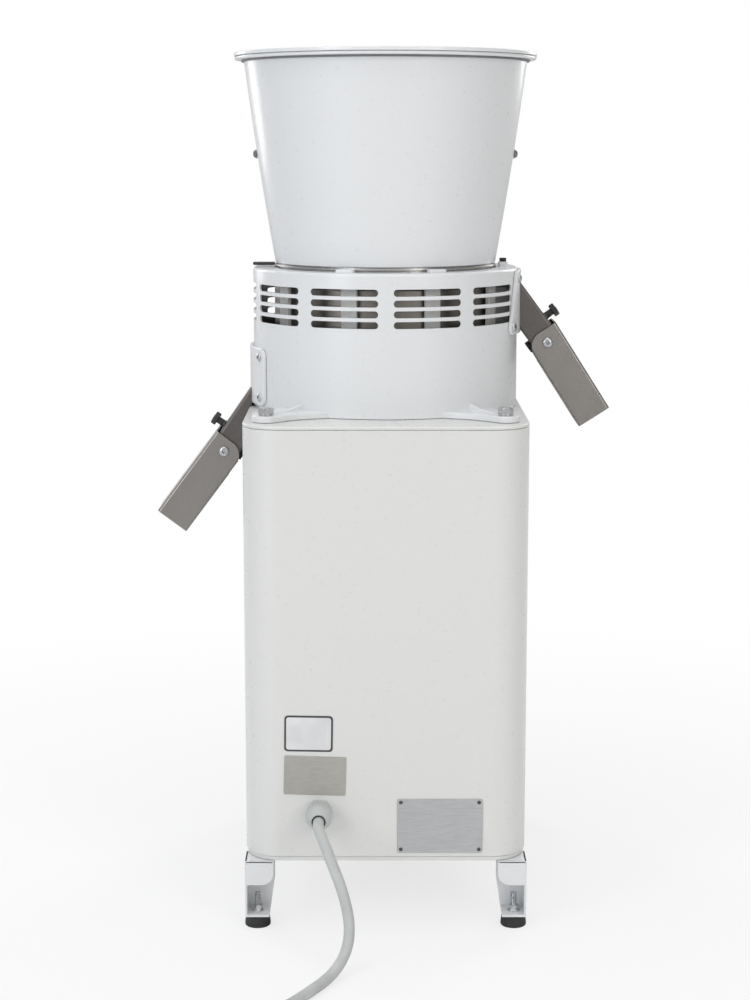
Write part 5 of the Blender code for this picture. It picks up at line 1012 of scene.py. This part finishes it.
def build_guard_screws():
    """The domed screws of the guard bar, on washers that lean with the cone."""
    lean = math.atan((HOPPER_HIGH_RADIUS - HOPPER_LOW_RADIUS) / HOPPER_HEIGHT) * 0.8
    radius = hopper_radius(GUARD_Z - HOPPER_BOTTOM) + 0.001
    dome = [(0.0038, 0), (0.0038, 0.0012), (0.0032, 0.0026), (0.0019, 0.0033), (0, 0.0035)]
    for name, side in (("left", 1), ("right", -1)):
        washer = moved(plate([circle(0.0046)], 0.001, edge=0.0003), (0, 0, 0.0001))
        cap = lathe(rounded(dome, [0, 0.001, 0.002, 0.002, 0], 5, closed=False), 36)
        turn = (0, side * (math.pi / 2 + lean), 0)
        screw = moved(group([washer, cap]), (side * radius, 0, GUARD_Z), turn)
        piece("guard_screw_" + name, screw, DARK_ZINC, "adjuster", ["guard_nut_" + name])


def build_lid():
    """A shallow pan lid: a dished top, a rolled edge and a lip that drops inside the rim."""
    outer, plug = RIM_RADIUS + HOPPER_WALL / 3, HOPPER_HIGH_RADIUS - HOPPER_WALL - 0.0015
    bottom = RIM_TOP + CLEARANCE
    top = bottom + 0.0036
    dish, lip = top - 0.0014, bottom - 0.004
    profile = [
        (0, dish), (0.118, dish), (0.1205, top), (outer - 0.0006, top), (outer, top - 0.0006),
        (outer, bottom), (plug, bottom), (plug - 0.0012, lip), (plug - 0.0026, lip), (plug - 0.003, bottom),
        (0, bottom),
    ]
    radii = [0, 0.002, 0.002, 0.0008, 0.0008, 0.0006, 0.0005, 0.0005, 0.0005, 0.0005, 0]
    piece("lid", lathe(rounded(profile, radii, 6, closed=False), FINE), WHITE, "lid", ["hopper_lid"])


# Outlets, chutes and spouts
CHUTE_WIDTH = 0.05
CHUTE_HEIGHT = 0.028
CHUTE_SHEET = 0.0015
CHUTE_PAST_PIVOT = 0.006
SPOUT_WIDTH = 0.0556
SPOUT_HEIGHT = 0.036
SPOUT_BACK = 0.0125
SPOUT_LENGTH = 0.102
EAR_RADIUS = 0.0165
PIVOT_BORE = 0.0033
KNOB_BACK = 0.0195
FLANGE_THICKNESS = 0.0035
FLANGE_INNER = DRUM_RADIUS + CLEARANCE
FLANGE_FACE = FLANGE_INNER + FLANGE_THICKNESS
PORT_LIP = 0.0035
UPPER_PIVOT = (-0.1624, 0.5586)
LOWER_PIVOT = (0.1632, 0.4484)
UPPER_SLOPES = (math.radians(53.3), math.radians(57.4))
LOWER_SLOPES = (math.radians(55.3), math.radians(53.2))
LOWER_FLANGE_BOTTOM = DRUM_BOTTOM + 0.004
LOWER_FLANGE_TOP = LOWER_FLANGE_BOTTOM + 0.057
UPPER_FLANGE_TOP = DRUM_TOP - 0.0025
UPPER_FLANGE_BOTTOM = UPPER_FLANGE_TOP - 0.0625


def chute_levels(pivot, slope, at_x):
    middle = pivot[1] + (abs(pivot[0]) - at_x) * math.tan(slope)
    half = CHUTE_HEIGHT / 2 / math.cos(slope)
    return middle - half, middle + half


UPPER_PORT = tuple(
    level + lip for level, lip in zip(
        chute_levels(UPPER_PIVOT, UPPER_SLOPES[0], FLANGE_FACE), (PORT_LIP, -PORT_LIP)
    )
)
LOWER_PORT = (
    LOWER_FLANGE_BOTTOM + 2 * CHUTE_SHEET,
    chute_levels(LOWER_PIVOT, LOWER_SLOPES[0], FLANGE_FACE)[1] - PORT_LIP,
)


def wrapped(outlines, thickness, inner_radius):
    """A flat plate drawn as (arc length, height) and bent round the drum, centred on +X."""
    mesh = plate(outlines, thickness, "YZ", edge=0.0008, steps=3)
    work = bmesh.new()
    work.from_mesh(mesh)
    reach = max(abs(vertex.co.y) for vertex in work.verts)
    step = math.radians(2) * inner_radius
    for i in range(-int(reach / step), int(reach / step) + 1):
        everything = work.verts[:] + work.edges[:] + work.faces[:]
        bmesh.ops.bisect_plane(work, geom=everything, plane_co=(0, i * step, 0), plane_no=(0, 1, 0))
    for vertex in work.verts:
        angle = vertex.co.y / (inner_radius + thickness)
        radius = inner_radius + thickness / 2 + vertex.co.x
        vertex.co = (radius * math.cos(angle), radius * math.sin(angle), vertex.co.z)
    work.to_mesh(mesh)
    work.free()
    return mesh


def arc_length(width):
    return FLANGE_FACE * math.asin(width / FLANGE_FACE)


def build_flange(name, side, outline, corner, port, screws):
    """A curved flange on the drum, its duct and its button screws."""
    yaw = 0 if side > 0 else math.pi
    outline = [(arc_length(y), z) for y, z in outline]
    width, height, middle = CHUTE_WIDTH - 4 * CHUTE_SHEET, port[1] - port[0], (port[0] + port[1]) / 2
    opening = box_outline(2 * arc_length(width / 2), height, 0.001, (0, middle))
    body = wrapped([rounded(outline, corner, 8), opening], FLANGE_THICKNESS, FLANGE_INNER)
    start, end = 0.098, FLANGE_INNER + FLANGE_THICKNESS / 2
    outer = box_outline(width + 2 * CHUTE_SHEET, height + 2 * CHUTE_SHEET, 0.0015)
    inner = box_outline(width, height, 0.0006)
    duct = moved(plate([outer, inner], end - start, "YZ", edge=0.0002), ((end + start) / 2, 0, middle))
    chamber = JACKET_RADIUS if name == "upper" else CHAMBER_RADIUS
    duct = boolean(duct, [disc(chamber + CLEARANCE, 0, 1, FINE)])
    flange = moved(group([body, duct]), rotation=(0, 0, yaw))
    piece(name + "_flange", flange, WHITE, "mill", [name + "_outlet_flange"])
    radius = FLANGE_FACE - CLEARANCE
    for i, (y, z) in enumerate(screws):
        angle = yaw + math.asin(y / FLANGE_FACE)
        place = (radius * math.cos(angle), radius * math.sin(angle), z)
        button_head(f"{name}_flange_screw_{i}", FLANGE_SCREW, place, (0, math.pi / 2, angle))


def hung(mesh, pivot, slope):
    """The mesh of an outlet, drawn round the origin, sloped and moved to its pivot."""
    return moved(mesh, (pivot[0], 0, pivot[1]), (0, slope, 0 if pivot[0] > 0 else math.pi))


def build_chute(name, pivot, slope):
    """The fixed inner trough, cut to the drum and the cabinet, and the buffer under it."""
    outer = box_outline(CHUTE_WIDTH, CHUTE_HEIGHT, 0.0026, steps=8)
    inner = box_outline(CHUTE_WIDTH - 2 * CHUTE_SHEET, CHUTE_HEIGHT - 2 * CHUTE_SHEET, 0.0011, steps=8)
    trough = moved(plate([outer, inner], DRUM_RADIUS, "YZ"), (CHUTE_PAST_PIVOT - DRUM_RADIUS / 2, 0, 0))
    side, cut_top = CABINET_WIDTH / 2 + CLEARANCE, 0.495
    cutters = [
        disc(FLANGE_FACE + CLEARANCE, CABINET_TOP, 0.8, FINE),
        moved(box(2 * side, CABINET_DEPTH, cut_top, 0.0001), (0, 0, cut_top / 2)),
        moved(plate([circle(PIVOT_BORE, points=32)], 0.1, "XZ"), (pivot[0], 0, pivot[1])),
        hung(moved(disc(0.0026, 0, 0.03), (-KNOB_BACK, 0, 0)), pivot, slope),
    ]
    chute = boolean(hung(trough, pivot, slope), cutters)
    if name == "lower":
        wall_x = side + CHUTE_SHEET / 2
        bottom = chute_levels(pivot, slope, wall_x)[0] + CHUTE_SHEET
        back = box(CHUTE_SHEET, CHUTE_WIDTH - CHUTE_SHEET, CABINET_TOP - bottom, 0.0003)
        chute = group([chute, moved(back, (wall_x, 0, (CABINET_TOP + bottom) / 2))])
    # The darker steel copy is painted shade for the chute's shadowed inner part.
    piece(name + "_inner_chute", chute, STEEL_SHADED, "mill", [name + "_chute"])
    block = plate([box_outline(0.01, 0.02, 0.002)], 0.005, edge=0.0008, steps=3)
    block = moved(block, (-0.004, 0, -CHUTE_HEIGHT / 2 - 0.0025))
    piece(name + "_buffer", hung(block, pivot, slope), RUBBER, "mill")


def build_spout(name, pivot, slope):
    """The tilting outer chute, folded from sheet, with rounded ears round the pivot."""
    half, end, past = SPOUT_HEIGHT / 2, SPOUT_LENGTH - SPOUT_BACK, 0.002
    outer = box_outline(SPOUT_WIDTH, SPOUT_HEIGHT, 0.003, steps=8)
    inner = box_outline(SPOUT_WIDTH - 2 * CHUTE_SHEET, SPOUT_HEIGHT - 2 * CHUTE_SHEET, 0.0015, steps=8)
    body = moved(plate([outer, inner], SPOUT_LENGTH, "YZ", edge=0.0004), ((end - SPOUT_BACK) / 2, 0, 0))
    top, right = half + past, end + past
    corners = [(-SPOUT_BACK, top), (-SPOUT_BACK, -half), (right, -half), (right, top)]
    side = plate([rounded(corners, [0, EAR_RADIUS, 0, 0], 16)], 0.08, "XZ", edge=0.00001)
    body = boolean(body, [side], "INTERSECT")
    notch = moved(box(0.032, SPOUT_WIDTH - 2 * CHUTE_SHEET, 0.011, 0.0002), (0, 0, -half))
    body = boolean(body, [notch, plate([circle(PIVOT_BORE, points=32)], 0.1, "XZ")])
    piece(name + "_outer_chute", hung(body, pivot, slope), STEEL, name + "_spout_body", [name + "_spout"])


def build_knob(name, pivot, slope):
    """A six-lobed clamp knob with a dished top."""
    outline, points, lobes = [], 96, 6
    for i in range(points):
        dent = 0.5 - 0.5 * math.cos(lobes * math.tau * i / points)
        outline.append(circle(0.0067 - 0.0012 * dent**1.5, points=points)[i])
    head = moved(plate([outline], 0.0055, edge=0.0011, steps=4), (0, 0, 0.01075))
    stem = [
        (0, 0.01), (0.0035, 0.01), (0.0035, 0.0015), (0.0043, 0), (0.0022, 0), (0.0022, -0.003), (0, -0.003)
    ]
    stem_mesh = lathe(rounded(stem, [0, 0.001, 0.003, 0.0003, 0, 0.0003, 0], 5, closed=False), 36)
    cap = lathe([(0, 0.0138), (0.0027, 0.0138), (0.003, 0.0135), (0.003, 0.0128), (0, 0.0128)], 32)
    mesh = moved(group([head, stem_mesh, cap]), (-KNOB_BACK, 0, CHUTE_HEIGHT / 2 + CLEARANCE))
    piece(name + "_knob", hung(mesh, pivot, slope), BLACK, name + "_knob", [name + "_clamp_knob"])


def build_pivot_screws(name, pivot):
    """A button head outside the spout and a shank with a collar inside the chute, on each side."""
    inner = (CHUTE_WIDTH - SPOUT_WIDTH) / 2 - CHUTE_SHEET - 2 * CLEARANCE
    collar = inner - 0.002
    shank = [(0, 0), (0.003, 0), (0.003, inner), (0.0048, inner), (0.0048, collar), (0, collar)]
    for end, side in (("back", 1), ("front", -1)):
        node = f"{name}_pivot_screw_{end}"
        place = (pivot[0], side * (SPOUT_WIDTH / 2 + CLEARANCE), pivot[1])
        turn = (-side * math.pi / 2, 0, 0)
        button_head(node + "_head", PIVOT_SCREW, place, turn)
        piece(node + "_shank", moved(lathe(shank, 32), place, turn), ZINC, "mill", [node])


def build_outlets():
    """The two outlets, each with its flange, chute, spout, knob and pivot screws."""
    top, bottom = UPPER_FLANGE_TOP, UPPER_FLANGE_BOTTOM
    high_half, low_half = 0.0385, 0.0605
    upper = [(high_half, top), (-high_half, top), (-low_half, bottom), (low_half, bottom)]
    inset = 0.0078
    rows = ((top - inset, high_half), (bottom + inset, low_half - 0.002))
    upper_screws = [(y, z) for z, reach in rows for y in (reach - inset, inset - reach)]
    build_flange("upper", -1, upper, 0.006, UPPER_PORT, upper_screws)
    top, bottom = LOWER_FLANGE_TOP, LOWER_FLANGE_BOTTOM
    lower = [(0.0645, top), (-0.0645, top), (-0.0645, bottom), (0.0645, bottom)]
    inset = 0.0085
    lower_screws = [(y, z) for z in (top - inset, bottom + inset) for y in (0.0645 - inset, inset - 0.0645)]
    build_flange("lower", 1, lower, 0.009, LOWER_PORT, lower_screws)
    for name, pivot, slopes in (("upper", UPPER_PIVOT, UPPER_SLOPES), ("lower", LOWER_PIVOT, LOWER_SLOPES)):
        build_chute(name, pivot, slopes[0])
        build_spout(name, pivot, slopes[1])
        build_knob(name, pivot, slopes[0])
        build_pivot_screws(name, pivot)


# Cable, gland, coil and plug
CABLE_RADIUS = 0.0052
GLAND_X = 0.064
GLAND_Z = 0.12
GLAND_HEX = 0.009
GLAND_DOME = 0.024
TIE_THICKNESS = 0.0008
COIL_X = 0.14
COIL_Y = 0.48
COIL_RADIUS = 0.0575
COIL_TURNS = 2
COIL_STEP = 0.0118
COIL_LAYER_RISE = 0.0112
COIL_EXIT = 0.019
COIL_POINTS = 24
COIL_Z = CABLE_RADIUS + TIE_THICKNESS + 2 * CLEARANCE
COIL_OUTER = COIL_RADIUS + COIL_STEP * COIL_TURNS / 2
COIL_START_X = COIL_X - 2 * CABLE_RADIUS
COIL_START_Y = COIL_Y - COIL_OUTER
GLAND_FACE = BACK_Y + GLAND_HEX + GLAND_DOME + 2 * CLEARANCE

# The route of the free stretch, from the gland to the start of the coil
CORD_ROUTE = (
    (GLAND_X, GLAND_FACE, GLAND_Z),
    (GLAND_X, GLAND_FACE + 2 * CABLE_RADIUS, GLAND_Z),
    (0.0620, 0.2360, 0.1172),
    (0.0570, 0.2480, 0.1085),
    (0.0505, 0.2575, 0.0945),
    (0.0430, 0.2645, 0.0770),
    (0.0372, 0.2700, 0.0585),
    (0.0343, 0.2760, 0.0410),
    (0.0355, 0.2835, 0.0260),
    (0.0410, 0.2940, 0.0145),
    (0.0488, 0.3075, 0.0080),
    (0.0570, 0.3220, 0.0057),
    (0.0655, 0.3370, 0.0053),
    (0.0742, 0.3525, 0.0053),
    (0.0835, 0.3680, 0.0054),
    (0.0935, 0.3825, 0.0056),
    (0.1050, 0.3955, 0.0058),
    (0.1170, 0.4050, 0.0060),
    (COIL_START_X - 2 * CABLE_RADIUS, COIL_START_Y, COIL_Z),
    (COIL_START_X - CLEARANCE, COIL_START_Y, COIL_Z),
)


def smooth_route(route, steps):
    """Points on a Catmull-Rom curve through the route."""
    points = [Vector(place) for place in route]
    points = [2 * points[0] - points[1]] + points + [2 * points[-1] - points[-2]]
    result = []
    for i in range(1, len(points) - 2):
        before, here, ahead, after = points[i - 1 : i + 3]
        for step in range(steps):
            t = step / steps
            result.append(
                (
                    2 * here
                    + (ahead - before) * t
                    + (2 * before - 5 * here + 4 * ahead - after) * t**2
                    + (3 * here - before - 3 * ahead + after) * t**3
                )
                / 2
            )
    return result + [points[-2]]


def coil_points():
    """Loops that spiral in, climb a layer in a half turn and spiral out above."""
    layer = COIL_TURNS * COIL_POINTS
    climb = COIL_POINTS // 2
    inner = COIL_OUTER - COIL_STEP * COIL_TURNS
    points = [Vector((COIL_START_X, COIL_START_Y, COIL_Z))]
    for i in range(2 * layer + climb + 1):
        if i <= layer:
            radius, height = COIL_OUTER - COIL_STEP * i / COIL_POINTS, COIL_Z
        elif i < layer + climb:
            t = (i - layer) / climb
            radius = inner - COIL_STEP / 2 * t * (1 - t)
            height = COIL_Z + COIL_LAYER_RISE * t * t * (3 - 2 * t)
        else:
            radius = inner + COIL_STEP * (i - layer - climb) / COIL_POINTS
            height = COIL_Z + COIL_LAYER_RISE
            t = max(0, (i - 2 * layer - climb + COIL_POINTS // 4) / (COIL_POINTS // 4))
            radius += COIL_EXIT * t * t * (3 - 2 * t)
        angle = math.tau * i / COIL_POINTS - math.pi / 2
        points.append(
            Vector((COIL_X + radius * math.cos(angle), COIL_Y + radius * math.sin(angle), height))
        )
    end = points[-1]
    points.append(Vector((end.x - 2 * CABLE_RADIUS, end.y, end.z)))
    return points


def build_gland():
    """A cable gland: hexagon body, thread and ribbed clamping nut, with a black seal and collar."""
    place, turn = (GLAND_X, BACK_Y + CLEARANCE, GLAND_Z), (-math.pi / 2, 0, 0)
    low, high, ribs = GLAND_HEX + 0.0014, GLAND_HEX + GLAND_DOME, 12
    flat, corner = 0.0117, 0.0126
    chamfer = [
        (0, -0.001), (flat, -0.001), (corner, 0.0012), (corner, GLAND_HEX - 0.0012),
        (flat, GLAND_HEX + 0.001), (0, GLAND_HEX + 0.001),
    ]
    body = plate([hexagon(0.0221), circle(0.0085, points=32)], GLAND_HEX, edge=0.0005)
    body = boolean(moved(body, (0, 0, GLAND_HEX / 2)), [lathe(chamfer, 64)], "INTERSECT")
    dome = [
        (0.0056, low), (0.0124, low), (0.0124, low + 0.0095), (0.0112, low + 0.0145), (0.0078, high),
        (0.0056, high),
    ]
    dome_mesh = lathe(rounded(dome, [0.0003, 0.0008, 0.004, 0.006, 0.001, 0.0006], 6), 96, closed=True)
    parts = [body, sleeve(0.0075, 0.0098, 0.001, -0.012), dome_mesh]
    for i in range(ribs):
        rib = moved(box(0.0011, 0.0008, 0.009, 0.0003), (0, 0.0124, low + 0.0052))
        parts.append(moved(rib, rotation=(0, 0, math.tau * i / ribs)))
    piece("gland", moved(group(parts), place, turn), GREY, "mill", ["cable_gland"])
    start, end = high - 0.002, high + 0.0006
    collar = [(0.0053, start), (0.0053, end), (0.0066, end), (0.0069, start)]
    rubber = group([sleeve(0.009, 0.0118, GLAND_HEX, low, 64), lathe(collar, 48, closed=True)])
    piece("gland_seal", moved(rubber, place, turn), RUBBER, "mill")


def build_cord():
    """The mains cable as one smooth line, through its coil to the plug."""
    free = smooth_route(CORD_ROUTE, 4)
    loops = coil_points()
    path = free[:-1] + smooth_route(loops, 3)
    curve = bpy.data.curves.new("mains_cable", "CURVE")
    curve.dimensions = "3D"
    curve.bevel_depth = CABLE_RADIUS
    curve.bevel_resolution = 5
    curve.use_fill_caps = True
    spline = curve.splines.new("POLY")
    spline.points.add(len(path) - 1)
    for point, place in zip(spline.points, path):
        point.co = (*place, 1)
    spline.use_smooth = True
    cable = placed("mains_cable", curve)
    cable.location = AXIS
    curve.materials.append(SHEATH)
    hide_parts("power_cord", "cord_coil")
    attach(cable, "mill")
    tie = build_tie()
    plug = build_plug(loops[-1])


def build_tie():
    """A flat strap round one side of the coil."""
    inner = COIL_OUTER - COIL_STEP * COIL_TURNS - COIL_STEP / 8
    half_width = (COIL_OUTER - inner) / 2 + CABLE_RADIUS + 2 * CLEARANCE
    low = COIL_Z - CABLE_RADIUS - CLEARANCE
    high = COIL_Z + COIL_LAYER_RISE + CABLE_RADIUS + CLEARANCE
    centre = ((COIL_OUTER + inner) / 2, (low + high) / 2)
    hole = box_outline(2 * half_width, high - low, CABLE_RADIUS, centre, 10)
    outer = (2 * (half_width + TIE_THICKNESS), high - low + 2 * TIE_THICKNESS)
    edge = box_outline(*outer, CABLE_RADIUS + TIE_THICKNESS, centre, 10)
    strap = moved(plate([edge, hole], 0.01, "XZ", edge=0.0002), (COIL_X, COIL_Y, 0))
    return piece("cable_tie", strap, BLACK, "mill", ["coil_tie"])


def build_plug(cord_end):
    """A moulded two-pin plug with a ribbed neck."""
    radius, length = cord_end.z, 0.05
    neck = length / 3
    profile = [
        (0, length), (radius * 0.92, length), (radius, length - radius / 4), (radius, neck + radius / 2),
        (CABLE_RADIUS * 1.5, neck), (CABLE_RADIUS * 1.3, 0), (0.0, 0),
    ]
    body = lathe(rounded(profile, [0, 0.0012, 0.003, 0.006, 0.004, 0.0008, 0], 7, closed=False), 96)
    ribs = []
    for i in range(5):
        low, high = 0.003 + i * 0.0026, 0.0043 + i * 0.0026
        rib = [(0.0055, low), (0.0082, low), (0.0082, high), (0.0055, high)]
        ribs.append(lathe(rounded(rib, [0, 0.0004, 0.0004, 0], 4), 48, closed=True))
    place = (cord_end.x - CLEARANCE, cord_end.y, cord_end.z)
    along = (0, -math.pi / 2, 0)
    handle = piece("plug_handle", moved(group([body] + ribs), place, along), SHEATH, "mill", ["plug_body"])
    pin = [(0.0024, 0), (0.0024, 0.0165), (0.0017, 0.0188), (0, 0.019), (0, 0)]
    pin = rounded(pin, [0, 0.001, 0.0008, 0, 0], 5)
    pins = [moved(lathe(pin, 32, closed=True), (0, side * 0.0095, length)) for side in (1, -1)]
    pins_piece = piece("plug_pins", moved(group(pins), place, along), BEARING, "mill")
    return [handle, pins_piece]


# Switch and buttons on the front
SWITCH_Z = 0.385
BEZEL = 0.004
BEZEL_FRONT = FRONT_Y - CLEARANCE - PANEL_THICKNESS - CLEARANCE - BEZEL


def build_switch():
    """The bezel and body of the switch, and the two buttons in their bores."""
    depth, spacing = 0.0125, 0.015
    bezel = plate([box_outline(0.058, 0.078, 0.006, steps=10)], BEZEL, "XZ", edge=0.0012, steps=4)
    bezel = moved(bezel, (0, BEZEL_FRONT + BEZEL / 2, SWITCH_Z))
    body = moved(box(0.046, 0.042, 0.064), (0, BEZEL_FRONT + BEZEL / 2 + 0.021, SWITCH_Z))
    bores = []
    for offset in (spacing, -spacing):
        bore = disc(0.0108, -depth, OVERRUN, MEDIUM)
        bores.append(moved(bore, (0, BEZEL_FRONT, SWITCH_Z + offset), (math.pi / 2, 0, 0)))
    switch = boolean(boolean(bezel, [body], "UNION"), bores)
    piece("switch", switch, BLACK, "mill", ["switch_body"])
    for name, offset, look, proud in (("start", spacing, GREEN, 0.005), ("stop", -spacing, RED, 0.007)):
        profile = [
            (0, proud - 0.0006), (0.0070, proud - 0.0005), (0.0092, proud), (0.0105, proud - 0.0012),
            (0.0105, -0.007), (0, -0.007),
        ]
        button = lathe(rounded(profile, [0, 0.002, 0.0012, 0.0008, 0.0003, 0], 6, closed=False), MEDIUM)
        place = (0, BEZEL_FRONT, SWITCH_Z + offset)
        piece(name + "_cap", moved(button, place, (math.pi / 2, 0, 0)), look, name, [name + "_button"])


def build_all():
    build_cord()
    build_gland()
    build_cabinet()
    build_legs()
    build_housing()
    build_chamber()
    build_adjusting_ring()
    build_hopper()
    build_outlets()
    build_switch()


build_all()
